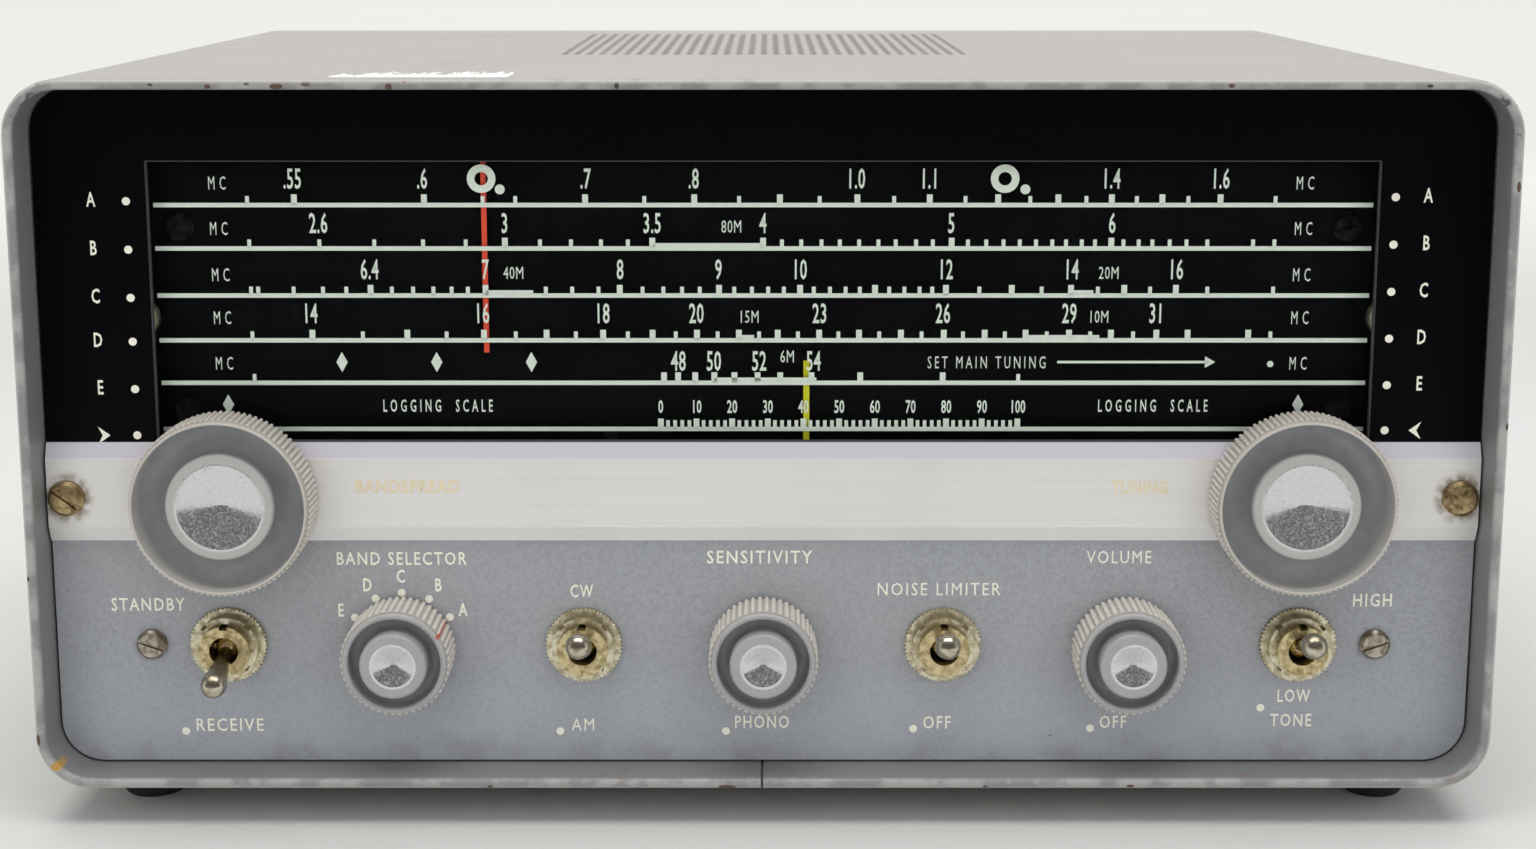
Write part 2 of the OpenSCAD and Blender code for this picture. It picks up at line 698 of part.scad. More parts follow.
module main_drum() {
    r = main_drum_r - cord_r - cord_gap;
    width = drum_back - drum_front;
    color([0.75, 0.72, 0.6]) difference() {
        union() {
            turned_back(drum_x, drum_front, drum_z) polygon([
                [0, 0], [8, 0], [8, 2.2], [r - 4, 2.2], [r - 4, 0], [r + 2.2, 0], [r + 2.2, 0.6],
                [r, 1.2], [r, width - 1], [r + 2.2, width - 0.4], [r + 2.2, width], [r - 4, width],
                [r - 4, 3.8], [9, 3.8], [9, gear_y - drum_front + 0.6], [0, gear_y - drum_front + 0.6]
            ]);
            translate([drum_x, gear_y + gear_t, drum_z]) rotate([90, 0, 0])
                rotate(gear_angle + 180 + 180 / pinion_teeth) linear_extrude(gear_t)
                polygon(gear_points(pinion_teeth));
        }
        rod_y(drum_x, drum_z, drum_front - over, gear_y + gear_t + over, shaft_r + run_gap);
        for (a = [0:60:300])
            rod_y(drum_x + 21 * cos(a), drum_z + 21 * sin(a), drum_front - over, gear_y - 0.8, 6.5);
    }
}

// Half-round plates of a gang rotor, turned by angle from the meshed place
module rotor_plates(count, y0, angle) {
    for (i = [0:count - 1]) translate([0, y0 + i * gang_pitch, 0]) rotate([0, -angle, 0])
        plate_y(0, gang_plate_t) difference() {
            circle(r = rotor_r);
            translate([2, -rotor_r - over]) square([rotor_r + over, 2 * (rotor_r + over)]);
        }
}

module stator_plates(count, y0) {
    outer = rotor_r + 2.5;
    inner = 6.5;
    for (i = [0:count]) plate_y(y0 - gang_pitch / 2 + i * gang_pitch, gang_plate_t) difference() {
        union() {
            circle(r = outer);
            translate([-outer, -outer]) square([8, 2 * outer]);
        }
        circle(r = inner);
        translate([-2.5, -outer - over]) square([outer + inner, 2 * (outer + over)]);
    }
    for (s = [-1, 1]) rod_y(3 - outer, s * (outer - 3), y0 - gang_pitch / 2 - 1.5,
        y0 + (count - 0.5) * gang_pitch + gang_plate_t + 1.5, 1.6);
}

module gang_frame(x, z, y0, y1, low, right, top) {
    side = rotor_r + 5.5;
    difference() {
        union() {
            for (y = [y0, y1 - gang_frame_t])
                block([x - side, y, low], [x + (y == y0 ? right : side), y + gang_frame_t, y == y0 ? top : z + side]);
            block([x - side, y0, low], [x + side, y1, low + gang_frame_t]);
        }
        rod_y(x, z, y0 - over, y1 + over, shaft_r + run_gap);
    }
}

module tuning_gang() {
    first = gang_front + gang_frame_t + 4;
    color([0.7, 0.71, 0.72]) {
        difference() {
            gang_frame(gang_x, gang_z, gang_front, gang_back, chassis_top, drum_x - gang_x + 8, drum_z + 8);
            rod_y(drum_x, drum_z, gang_front - over, gang_front + gang_frame_t + over, shaft_r);
        }
        for (j = [0, 1]) translate([gang_x, 0, gang_z]) stator_plates(main_plates, first + j * (section_l + 1));
    }
    color([0.85, 0.82, 0.74]) for (s = [-1, 1]) for (y = [gang_front + gang_frame_t, gang_back - gang_frame_t - 1.6])
        rod_y(gang_x - rotor_r + 0.5, gang_z + s * (rotor_r - 0.5), y, y + 1.6, 3);
}

module tuning_gang_rotor() {
    first = gang_front + gang_frame_t + 4;
    color([0.78, 0.76, 0.7]) {
        difference() {
            union() {
                rod_y(gang_x, gang_z, gear_y, gang_back + 3, shaft_r);
                rod_y(gang_x, gang_z, gear_y + gear_t - 0.5, gang_front - 0.4, 6);
                translate([gang_x, gear_y + gear_t, gang_z]) rotate([90, 0, 0]) rotate(gear_angle)
                    linear_extrude(gear_t) polygon(gear_points(gear_teeth));
            }
            for (a = [30:60:330]) rod_y(gang_x + 14 * cos(a), gang_z + 14 * sin(a), gear_y - over,
                gear_y + gear_t + over, 4);
        }
        rod_y(gang_x, gang_z, first - 1, first + 2 * section_l, 5);
        translate([gang_x, 0, gang_z]) for (j = [0, 1])
            rotor_plates(main_plates, first + j * (section_l + 1), main_rotor_angle);
    }
}

module bandspread_gang() {
    first = spread_front + gang_frame_t + 4;
    color([0.7, 0.71, 0.72]) {
        gang_frame(spread_x, spread_z, spread_front, spread_back, chassis_top, rotor_r + 5.5,
            spread_z + rotor_r + 5.5);
        translate([spread_x, 0, spread_z]) stator_plates(spread_plates, first);
    }
    color([0.85, 0.82, 0.74]) for (s = [-1, 1]) for (y = [spread_front + gang_frame_t, spread_back - gang_frame_t - 1.6])
        rod_y(spread_x - rotor_r + 0.5, spread_z + s * (rotor_r - 0.5), y, y + 1.6, 3);
}

module bandspread_rotor() {
    first = spread_front + gang_frame_t + 4;
    r = spread_drum_r - cord_r - cord_gap;
    low = spread_y - 0.6;
    color([0.78, 0.76, 0.7]) {
        rod_y(spread_x, spread_z, low, spread_back + 3, shaft_r);
        rod_y(spread_x, spread_z, first - 1, first + spread_plates * gang_pitch, 5);
        difference() {
            turned_back(spread_x, low, spread_z) polygon([
                [0, 0], [7, 0], [7, 1.2], [r - 3.5, 1.2], [r - 3.5, 0], [r + 2, 0], [r, 0.8],
                [r, 3.8], [r + 2, 4.6], [r - 3.5, 4.6], [r - 3.5, 2.8], [7, 2.8], [7, 7], [0, 7]
            ]);
            for (a = [0:72:288])
                rod_y(spread_x + 15 * cos(a), spread_z + 15 * sin(a), low - over, low + 5, 4.5);
        }
        translate([spread_x, 0, spread_z]) rotor_plates(spread_plates, first, spread_rotor_angle);
    }
}

// A spindle that the cord winds on; wheel end at y, front end in the knob
module spindle(x, y, knob_depth, flywheel) {
    front = panel_y - knob_depth;
    deep = spindle_cord_r - cord_r - cord_gap;
    rim = spindle_cord_r + 1.2;
    end = spindle_bracket_y + 1.6;
    turned_back(x, front, tune_z) polygon(concat(
        [[0, 0], [shaft_r, 0], [shaft_r, y - 2 - front], [rim, y - 2 - front], [rim, y - 1.2 - front],
            [deep, y - 0.9 - front], [deep, y + 3.5 - front], [rim, y + 3.8 - front], [rim, y + 4.6 - front],
            [shaft_r, y + 4.6 - front]],
        flywheel
            ? [[shaft_r, end + 1 - front], [6, end + 1 - front], [6, end + 3 - front], [14.2, end + 3 - front],
                [14.2, end + 11 - front], [6, end + 11 - front], [6, end + 12 - front], [0, end + 12 - front]]
            : [[shaft_r, end + 1 - front], [5, end + 1 - front], [5, end + 3 - front], [0, end + 3 - front]]
    ));
}

big_bore_depth = big_knob_reach - 5.5;

module tuning_spindle() {
    color([0.66, 0.66, 0.67]) spindle(tune_x, main_y, big_bore_depth, true);
}

module bandspread_spindle() {
    color([0.66, 0.66, 0.67]) spindle(-tune_x, spread_y, big_bore_depth, false);
}

// Knobs; local z is the distance from the panel's face towards the front
module at_panel(x, z) {
    translate([x, panel_y, z]) rotate([90, 0, 0]) children();
}

module fluted_outline(r, n, deep) {
    polygon([for (i = [0:n - 1]) for (p = [[0.08, 0], [0.34, 1], [0.66, 1], [0.92, 0]])
        let (a = 360 * (i + p[0]) / n, q = r - deep * (1 - p[1])) [q * cos(a), q * sin(a)]]);
}

// Section of the air in a knob's front: the seat of its cap, the round edge of its boss, the
// channel with its round bottom and the inner edge of its rim
module dish_section(wall_r, boss_r, cap_r, bottom, cap_base, face, reach, rim_round, boss_round) {
    half = (wall_r - boss_r) / 2;
    translate([0, cap_base]) square([cap_r, reach]);
    translate([boss_r, bottom + half]) square([2 * half, reach]);
    translate([boss_r + half, bottom + half]) circle(r = half);
    translate([0, face]) square([wall_r - half, reach]);
    difference() {
        translate([boss_r - boss_round, face - boss_round]) square(2 * boss_round);
        translate([boss_r - boss_round, face - boss_round]) circle(r = boss_round);
    }
    difference() {
        translate([wall_r - rim_round, reach - rim_round]) square(2 * rim_round);
        translate([wall_r + rim_round, reach - rim_round]) circle(r = rim_round);
    }
}

// Section of the smooth lip in front of a knob's flutes, with a round outer edge
module lip_section(r, low, reach, round) {
    translate([0, low]) square([r, reach - low - round]);
    translate([0, low]) square([r - round, reach - low]);
    translate([r - round, reach - round]) circle(r = round);
}

// Shallow cone spun into the metal cap
module knob_cap(r, base, face, dish) {
    rotate_extrude() polygon([[0, base], [r, base], [r, face], [r - 0.6, face], [0, face - dish]]);
}

lip_h = 1.2;
big_cap_r = big_boss_r - 2.1;
big_lip_r = big_knob_r - flute_depth - 0.1;
big_wall_r = big_knob_r - big_wall;
big_face = big_knob_reach - 1.4;
big_cap_base = big_face - 3.2;

module big_knob() {
    low = trim_t + knob_gap;
    difference() {
        union() {
            translate([0, 0, low]) linear_extrude(big_knob_reach - lip_h - low)
                fluted_outline(big_knob_r, big_flutes, flute_depth);
            rotate_extrude() lip_section(big_lip_r, low + 0.5, big_knob_reach, 0.45 * (big_lip_r - big_wall_r));
        }
        rotate_extrude() dish_section(big_wall_r, big_boss_r, big_cap_r, big_knob_reach - big_dish,
            big_cap_base, big_face, big_knob_reach, 0.35 * (big_lip_r - big_wall_r), 0.9);
        translate([0, 0, low - over]) cylinder(h = big_bore_depth - low + over, r = shaft_r);
    }
}

small_face = small_knob_reach + 2;
small_cap_r = small_boss_r - 2.4;
small_lip_r = small_knob_r - flute_depth - 0.1;
small_wall_r = small_knob_r - small_wall;
small_cap_base = small_face - 2.6;
small_bore_depth = small_face - 4.6;
nut_t = 2.2;
bushing_reach = 5.2;

module small_knob() {
    difference() {
        union() {
            translate([0, 0, knob_gap]) linear_extrude(small_knob_reach - lip_h - knob_gap)
                fluted_outline(small_knob_r, small_flutes, flute_depth);
            rotate_extrude() lip_section(small_lip_r, knob_gap + 0.5, small_knob_reach,
                0.45 * (small_lip_r - small_wall_r));
            translate([0, 0, knob_gap]) cylinder(h = small_face - knob_gap, r = small_boss_r);
        }
        rotate_extrude() dish_section(small_wall_r, small_boss_r, small_cap_r, small_knob_reach - small_dish,
            small_cap_base, small_face, small_knob_reach, 0.35 * (small_lip_r - small_wall_r), 0.8);
        translate([0, 0, -over]) cylinder(h = small_bore_depth + over, r = shaft_r);
        translate([0, 0, -over]) cylinder(h = bushing_reach + 0.8 + over, r = bushing_r + 0.5);
        translate([0, 0, -over]) cylinder(h = nut_t + 0.8 + over, r = 7.9);
    }
}

module tuning_knob() {
    color([0.6, 0.58, 0.55]) at_panel(tune_x, tune_z) big_knob();
}

module tuning_knob_cap() {
    color([0.8, 0.78, 0.74]) at_panel(tune_x, tune_z) knob_cap(big_cap_r, big_cap_base, big_face, 2.7);
}

module bandspread_knob() {
    color([0.6, 0.58, 0.55]) at_panel(-tune_x, tune_z) big_knob();
}

module bandspread_knob_cap() {
    color([0.8, 0.78, 0.74]) at_panel(-tune_x, tune_z) knob_cap(big_cap_r, big_cap_base, big_face, 2.7);
}

module band_knob() {
    color([0.6, 0.58, 0.55]) at_panel(-control_x, control_z) small_knob();
}

module band_knob_cap() {
    color([0.8, 0.78, 0.74]) at_panel(-control_x, control_z)
        knob_cap(small_cap_r, small_cap_base, small_face, 2);
}

module sensitivity_knob() {
    color([0.6, 0.58, 0.55]) at_panel(0, control_z) small_knob();
}

module sensitivity_knob_cap() {
    color([0.8, 0.78, 0.74]) at_panel(0, control_z) knob_cap(small_cap_r, small_cap_base, small_face, 2);
}

module volume_knob() {
    color([0.6, 0.58, 0.55]) at_panel(control_x, control_z) small_knob();
}

module volume_knob_cap() {
    color([0.8, 0.78, 0.74]) at_panel(control_x, control_z)
        knob_cap(small_cap_r, small_cap_base, small_face, 2);
}

// Pieces behind the small controls
pot_r = 12;
pot_l = 12;
pot_bore_end = apron_back + 8;
wafer_pitch = 18;
switch_ys = [for (k = [0:2]) apron_back + 16 + k * wafer_pitch];
wafer_r = 19;
wafer_bore_r = 6;

module potentiometers() {
    color([0.72, 0.7, 0.62]) for (x = [0, control_x]) difference() {
        union() {
            rod_y(x, control_z, panel_y - bushing_reach, apron_back, bushing_r);
            rod_y(x, control_z, apron_back, apron_back + pot_l, pot_r);
            if (x > 0) rod_y(x, control_z, apron_back + pot_l, apron_back + pot_l + 9, pot_r - 2);
            for (k = [-1, 0, 1]) block([x + 6 * k - 1, apron_back + 2, control_z - pot_r - 5],
                [x + 6 * k + 1, apron_back + 3, control_z - pot_r + 3]);
        }
        rod_y(x, control_z, panel_y - bushing_reach - over, pot_bore_end + 0.3, shaft_r + run_gap);
    }
}

module sensitivity_shaft() {
    color([0.66, 0.66, 0.67]) rod_y(0, control_z, panel_y - small_bore_depth, pot_bore_end, shaft_r);
}

module volume_shaft() {
    color([0.66, 0.66, 0.67]) rod_y(control_x, control_z, panel_y - small_bore_depth, pot_bore_end, shaft_r);
}

module band_switch() {
    color([0.62, 0.5, 0.3]) {
        for (y = switch_ys) plate_y(y, 1.4) translate([-control_x, control_z]) difference() {
            circle(r = wafer_r);
            circle(r = wafer_bore_r);
            for (s = [-1, 1]) translate([s * 14, 0]) circle(r = screw_r);
        }
    }
    color([0.66, 0.66, 0.67]) difference() {
        union() {
            rod_y(-control_x, control_z, panel_y - bushing_reach, apron_back, bushing_r);
            block([-control_x - 17, apron_back, control_z - 13], [17 - control_x, apron_back + 2, control_z + 13]);
            for (s = [-1, 1]) rod_y(s * 14 - control_x, control_z, apron_back, switch_ys[2] + 5, screw_r);
        }
        rod_y(-control_x, control_z, panel_y - bushing_reach - over, apron_back + 2 + over, shaft_r + run_gap);
    }
}

module band_switch_rotor() {
    color([0.75, 0.73, 0.68]) {
        rod_y(-control_x, control_z, panel_y - small_bore_depth, switch_ys[2] + 4, shaft_r);
        for (y = switch_ys) difference() {
            rod_y(-control_x, control_z, y - 0.4, y + 1.8, wafer_bore_r - 0.2);
            rod_y(-control_x, control_z, y - over, y + 2 + over, shaft_r);
        }
    }
}

// Toggles
toggle_reach = 6;
pivot_y = panel_y - 1;
toggle_body_l = 17;

module toggle_switches() {
    color([0.2, 0.17, 0.15]) for (x = toggle_xs) difference() {
        union() {
            block([x - 6.5, apron_back, toggle_z - 13.5], [x + 6.5, apron_back + toggle_body_l, toggle_z + 13.5]);
            for (k = [-1, 1]) block([x - 2, apron_back + toggle_body_l, toggle_z + 7 * k - 0.5],
                [x + 2, apron_back + toggle_body_l + 6, toggle_z + 7 * k + 0.5]);
            rod_y(x, toggle_z, panel_y - toggle_reach, apron_back, toggle_bushing_r);
        }
        rod_y(x, toggle_z, panel_y - toggle_reach - over, apron_back + 5, toggle_bore_r);
        block([x - 0.9, panel_y - toggle_reach - over, toggle_z + toggle_bushing_r - 0.8],
            [x + 0.9, panel_y - 0.1, toggle_z + toggle_bushing_r + 1]);
    }
}

module toggle_lever(x, tilt) {
    color([0.75, 0.7, 0.55]) translate([x, pivot_y, toggle_z]) rotate([90 - tilt, 0, 0]) {
        rotate_extrude() intersection() {
            union() {
                circle(r = 2.9);
                polygon([[0, 0], [1.4, 0], [1.5, 5], [3, lever_l], [0, lever_l]]);
                translate([0, lever_l]) circle(r = 3);
            }
            translate([0, -5]) square([5, lever_l + 10]);
        }
        rotate([0, 90, 0]) cylinder(h = 2 * toggle_bore_r - 0.4, r = 0.9, center = true);
    }
}

module standby_lever() {
    toggle_lever(-toggle_out_x, -toggle_throw / 2);
}

module mode_lever() {
    toggle_lever(-toggle_in_x, toggle_throw / 2);
}

module limiter_lever() {
    toggle_lever(toggle_in_x, toggle_throw / 2);
}

module tone_lever() {
    toggle_lever(toggle_out_x, toggle_throw / 2);
}

module nuts() {
    color([0.72, 0.68, 0.52]) {
        for (x = [-control_x, 0, control_x]) plate_y(panel_y - nut_t, nut_t) translate([x, control_z])
            difference() {
                circle(r = 7.33, $fn = 6);
                circle(r = bushing_r);
            }
        for (x = toggle_xs) {
            plate_y(panel_y - 1.3, 1.3) translate([x, toggle_z]) difference() {
                fluted_outline(9.06, 56, 0.35);
                circle(r = toggle_bushing_r);
            }
            plate_y(panel_y - 3.6, 2.3) translate([x, toggle_z]) difference() {
                circle(r = 7.4);
                circle(r = toggle_bushing_r);
                for (a = [45:90:315]) rotate(a) translate([7.4, 0]) square([1.4, 1.6], center = true);
            }
        }
        for (a = [0:90:270])
            translate([speaker_stud_r * cos(a), speaker_y + speaker_stud_r * sin(a), inner_top_z - speaker_flange_t - 2.4])
                difference() {
                    cylinder(h = 2.4, r = 4, $fn = 6);
                    translate([0, 0, -over]) cylinder(h = 2.4 + 2 * over, r = stud_r);
                }
    }
}

// Pieces that stand on the chassis
tube_h = 46;
socket_h = 3;

module tubes() {
    r = 9.2;
    color([0.75, 0.8, 0.82, 0.6]) for (p = tube_places)
        translate([p[0], p[1], chassis_top + socket_h]) {
            rotate_extrude() intersection() {
                union() {
                    square([r, tube_h - r - 3]);
                    translate([0, tube_h - r - 3]) circle(r = r);
                    translate([0, tube_h - 4]) square([1.8, 3]);
                    translate([0, tube_h - 1]) circle(r = 1.8);
                }
                square([r + 1, tube_h + 2]);
            }
            for (a = [0:45:270]) translate([4.76 * cos(a), 4.76 * sin(a), 0 - socket_h]) cylinder(h = socket_h, r = 0.5);
        }
}

module tube_sockets() {
    color([0.16, 0.13, 0.11]) for (p = tube_places) translate([p[0], p[1], chassis_top]) difference() {
        union() {
            cylinder(h = socket_h, r = 10.5);
            translate([0, 0, -6]) cylinder(h = 6, r = socket_hole_r);
        }
        for (a = [0:45:270]) translate([4.76 * cos(a), 4.76 * sin(a), 0]) cylinder(h = socket_h + over, r = 0.5);
    }
}

module if_cans() {
    side = 22;
    color([0.78, 0.79, 0.8]) for (p = can_places) translate([p[0], p[1], chassis_top]) {
        difference() {
            linear_extrude(48) rounded_rect(side, side, 3);
            for (s = [-1, 1]) translate([4 * s, 0, 40]) cylinder(h = 12, r = 2.4);
        }
        translate([0, 0, -5]) cylinder(h = 5, r = can_hole_r);
    }
}

module lamination_stack(core) {
    for (s = [0, 1]) mirror([0, s, 0]) translate([0, core[1] / 2, 0]) rotate([-90, 0, 0])
        translate([0, -core[2] / 2, 0]) linear_extrude(11) rounded_rect(0.72 * core[0], 0.74 * core[2], 5);
    translate([-core[0] / 2, -core[1] / 2, 0]) cube(core);
}

module transformers() {
    color([0.12, 0.12, 0.13]) translate([transformer_place[0], transformer_place[1], chassis_top]) {
        lamination_stack(power_core);
        for (s = [-1, 1]) translate([s * 0.4 * power_core[0] - 6, -power_core[1] / 2 - 9, 0])
            cube([12, power_core[1] + 18, 1.5]);
        translate([0, 0, -4]) cylinder(h = 4, r = can_hole_r);
    }
    color([0.35, 0.25, 0.18]) translate([output_place[0], output_place[1], chassis_top]) {
        lamination_stack(output_core);
        for (s = [-1, 1]) translate([s * (output_core[0] / 2 + 1) - 6, -5, 0]) cube([12, 10, 1.5]);
        translate([0, 0, -3]) cylinder(h = 3, r = can_hole_r);
    }
}

module filter_capacitor() {
    color([0.75, 0.76, 0.78]) translate([capacitor_place[0], capacitor_place[1], chassis_top])
        rotate_extrude() polygon([
            [0, -4], [can_hole_r, -4], [can_hole_r, 0], [capacitor_r + 1.5, 0], [capacitor_r + 1.5, 1.5],
            [capacitor_r, 1.5], [capacitor_r, 56], [capacitor_r - 1.5, 58], [0, 58]
        ]);
}

module coils() {
    length = 34;
    color([0.75, 0.45, 0.25]) for (p = coil_places)
        translate([p[0], p[1], chassis_top - chassis_t - length]) rotate_extrude() polygon([
            [3, 0], [5, 0], [5, 6], [7, 6], [7, 13], [5, 13], [5, 17], [7.6, 17], [7.6, 26], [5, 26],
            [5, length - 1.5], [8, length - 1.5], [8, length], [3, length]
        ]);
}

// Loudspeaker under the grille; local z runs down from the cabinet's top sheet
cone_r = speaker_r - 10;

module speaker_frame() {
    neck = 15;
    deep = speaker_depth - 16;
    color([0.3, 0.32, 0.34]) translate([0, speaker_y, inner_top_z]) mirror([0, 0, 1]) difference() {
        rotate_extrude() polygon([
            [cone_r, 0], [speaker_r, 0], [speaker_r, speaker_flange_t], [cone_r + 1.4, speaker_flange_t],
            [neck + 9, deep], [neck + 9, deep + 1], [21, deep + 1], [22, deep + 2], [22, speaker_depth],
            [0, speaker_depth], [0, deep + 2], [neck - 5, deep + 2], [neck - 5, deep - 0.5],
            [neck + 8, deep - 0.5], [cone_r, speaker_flange_t]
        ]);
        for (a = [0:90:270])
            translate([speaker_stud_r * cos(a), speaker_stud_r * sin(a), -over])
                cylinder(h = speaker_flange_t + 2 * over, r = stud_r);
        for (a = [45:90:315]) rotate(a) translate([neck + 14, -11, 5]) cube([cone_r, 22, deep - 10]);
    }
}

module speaker_cone() {
    edge = cone_r - 0.5;
    deep = speaker_depth - 22;
    color([0.2, 0.18, 0.16]) translate([0, speaker_y, inner_top_z]) mirror([0, 0, 1]) rotate_extrude()
        polygon([
            [0, deep - 5], [7, deep - 3.4], [11, deep - 1], [edge - 5, 3.2], [edge - 3.5, 2], [edge - 2, 3.2],
            [edge, 1], [edge, 1.8], [edge - 2, 4], [edge - 3.5, 2.8], [edge - 5, 4], [11.5, deep],
            [8, deep], [8, deep + 5], [0, deep + 5]
        ]);
}

// Rear pieces
module antenna_terminals() {
    base_y = chassis_back;
    color([0.4, 0.26, 0.14]) difference() {
        block([-25, base_y, rear_z - 8], [25, base_y + 2, rear_z + 8]);
        for (x = [-16, 0, 16]) rod_y(x, rear_z, base_y - over, base_y + 2 + over, 1.6);
    }
    color([0.7, 0.66, 0.55]) for (x = [-16, 0, 16]) difference() {
        turned_back(x, base_y - 3, rear_z) polygon([
            [0, 0], [1.6, 0], [1.6, 5], [4.2, 5], [4.2, 7.4], [3.2, 8.6], [0, 8.8]
        ]);
        translate([x, base_y + 5.8, rear_z]) cube([12, 1.8, 1], center = true);
    }
}

jack_bore_r = 3.2;

module phones_jack() {
    color([0.74, 0.74, 0.72]) {
        difference() {
            union() {
                rod_y(jack_x, rear_z, chassis_back - chassis_t, chassis_back + 8, bushing_r);
                block([jack_x - 9, chassis_back - chassis_t - 18, rear_z - 9],
                    [jack_x + 9, chassis_back - chassis_t, rear_z + 9]);
            }
            rod_y(jack_x, rear_z, chassis_back - chassis_t - 14, chassis_back + 8 + over, jack_bore_r);
        }
        plate_y(chassis_back, 2.2) translate([jack_x, rear_z]) difference() {
            circle(r = 7.33, $fn = 6);
            circle(r = bushing_r);
        }
    }
}

module cord_grommet() {
    color([0.1, 0.1, 0.1]) turned_back(grommet_x, chassis_back, rear_z) polygon([
        [3.7, -3.2], [7.8, -3.2], [8.4, -2.6], [8.4, -chassis_t], [grommet_hole_r, -chassis_t],
        [grommet_hole_r, 0], [8.4, 0], [8.4, 1.6], [7.8, 2.2], [3.7, 2.2]
    ]);
}

module dial_lamps() {
    tip = pointer_y;
    color([0.95, 0.85, 0.6]) for (s = [-1, 1]) turned_back(s * lamp_x, tip, lamp_z) intersection() {
        union() {
            translate([0, 5]) circle(r = 5);
            translate([0, 5]) square([4.4, 14]);
            translate([0, 16]) square([6.2, 2]);
        }
        square([7, 20]);
    }
    color([0.7, 0.7, 0.7]) for (s = [0, 1]) mirror([s, 0, 0])
        difference() {
            block([lamp_x - 5, tip + 18, lamp_z - 5], [chassis_w / 2 - 1.2, tip + 19.2, lamp_z + 5]);
            rod_y(lamp_x, lamp_z, tip + 17, tip + 21, 2);
        }
}

// Pointers; each runs between the glass and the dial plate and is drawn by its cord
module cord_clip(x, y, z, low, high) {
    difference() {
        block([x - 3, y - 1.6, low], [x + 3, y + 1.6, high]);
        translate([x - 4, y, z]) rotate([0, 90, 0]) cylinder(h = 8, r = cord_r + 0.4);
    }
}

module main_pointer() {
    t = 0.8;
    top = dial_plate_top + 0.8;
    leg_y = dial_plate_back + 0.7;
    arm_z = main_run_z - 2.6;
    x = main_pointer_x;
    color([0.95, 0.3, 0.15]) {
        block([x - 0.6, pointer_y, window_z + 20], [x + 0.6, pointer_y + pointer_t, top + t]);
        block([x - 4, pointer_y, top], [x + 4, leg_y + t, top + t]);
        block([x - 4, leg_y, arm_z], [x + 4, leg_y + t, top + t]);
        block([x - 3, leg_y, arm_z], [x + 3, main_y + 1.6, arm_z + t]);
        cord_clip(x, main_y, main_run_z, arm_z, main_run_z + 1.6);
    }
}

module bandspread_pointer() {
    arm_z = spread_run_z + 1.4;
    t = 0.8;
    x = spread_pointer_x;
    color([0.85, 0.82, 0.2]) {
        block([x - 0.7, pointer_y, arm_z], [x + 0.7, pointer_y + pointer_t, window_z + 18]);
        block([x - 3, pointer_y, arm_z], [x + 3, spread_y + 1.6, arm_z + t]);
        cord_clip(x, spread_y, spread_run_z, spread_run_z - 1.6, arm_z + t);
    }
}

cabinet();
grille();
feet();
case_screws();
rear_cover();
front_panel();
trim_strip();
front_screws();
dial_glass();
dial_plate();
dial_plate_screws();
side_brackets();
chassis();
spindle_bushings();
spindle_brackets();
drive_studs();
main_cord();
bandspread_cord();
tuning_gang();
bandspread_gang();
band_switch();
potentiometers();
nuts();
toggle_switches();
tubes();
tube_sockets();
if_cans();
transformers();
filter_capacitor();
coils();
speaker_frame();
speaker_cone();
antenna_terminals();
phones_jack();
cord_grommet();
dial_lamps();
tuning_knob();
tuning_knob_cap();
tuning_spindle();
bandspread_knob();
bandspread_knob_cap();
bandspread_spindle();
main_pointer();
bandspread_pointer();
main_drum();
tuning_gang_rotor();
bandspread_rotor();
band_knob();
band_knob_cap();
band_switch_rotor();
sensitivity_knob();
sensitivity_knob_cap();
sensitivity_shaft();
volume_knob();
volume_knob_cap();
volume_shaft();
standby_lever();
mode_lever();
limiter_lever();
tone_lever();
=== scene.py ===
import math
import bpy
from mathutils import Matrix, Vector


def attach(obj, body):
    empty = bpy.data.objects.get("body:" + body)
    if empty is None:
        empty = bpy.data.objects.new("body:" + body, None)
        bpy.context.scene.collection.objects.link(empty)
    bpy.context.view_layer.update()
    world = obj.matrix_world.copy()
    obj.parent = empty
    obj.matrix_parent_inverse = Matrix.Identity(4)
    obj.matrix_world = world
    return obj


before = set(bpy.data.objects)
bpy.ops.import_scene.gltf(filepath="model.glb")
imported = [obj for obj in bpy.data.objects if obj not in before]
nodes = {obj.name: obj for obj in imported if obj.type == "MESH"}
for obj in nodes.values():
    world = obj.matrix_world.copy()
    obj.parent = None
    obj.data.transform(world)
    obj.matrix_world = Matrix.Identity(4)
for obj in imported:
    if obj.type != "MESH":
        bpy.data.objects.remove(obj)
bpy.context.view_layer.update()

MM = 0.001
X, Y, Z = 0, 1, 2           # a place's coordinates, by number

# Sizes of the CAD part that the looks follow, in millimetres
FLOOR = 9.0                 # cabinet's underside
TOP = 175.0                 # and its top
HALF_W = 170.0              # half its width
CORNER_R = 12.7             # its corners, seen from the front
RIM_Y = -112.5              # foremost line of the rolled rim
PANEL_Y = -101.5            # face of the front panel
TRIM_Y = PANEL_Y - 2.0      # face of the trim strip
GLASS_Y = -97.4             # rear face of the dial glass, which carries the print
WINDOW_HALF_W = 141.0       # dial window in the panel
WINDOW_HALF_H = 32.7
WINDOW_Z = 122.8
TRIM_LOW, TRIM_HIGH = 66.3, 89.9      # edges of the trim strip
TRIM_SCREW_X, TRIM_SCREW_Z = 162.4, 77.0
TUNE_X, TUNE_Z = 124.7, 77.0
CONTROL_X, CONTROL_Z = 85.5, 40.0
TOGGLE_Z = 40.9
PIVOT_Y = PANEL_Y - 1.0     # with TOGGLE_Z, the line that the switch levers turn about
LEVER_BALL_R = 3.7
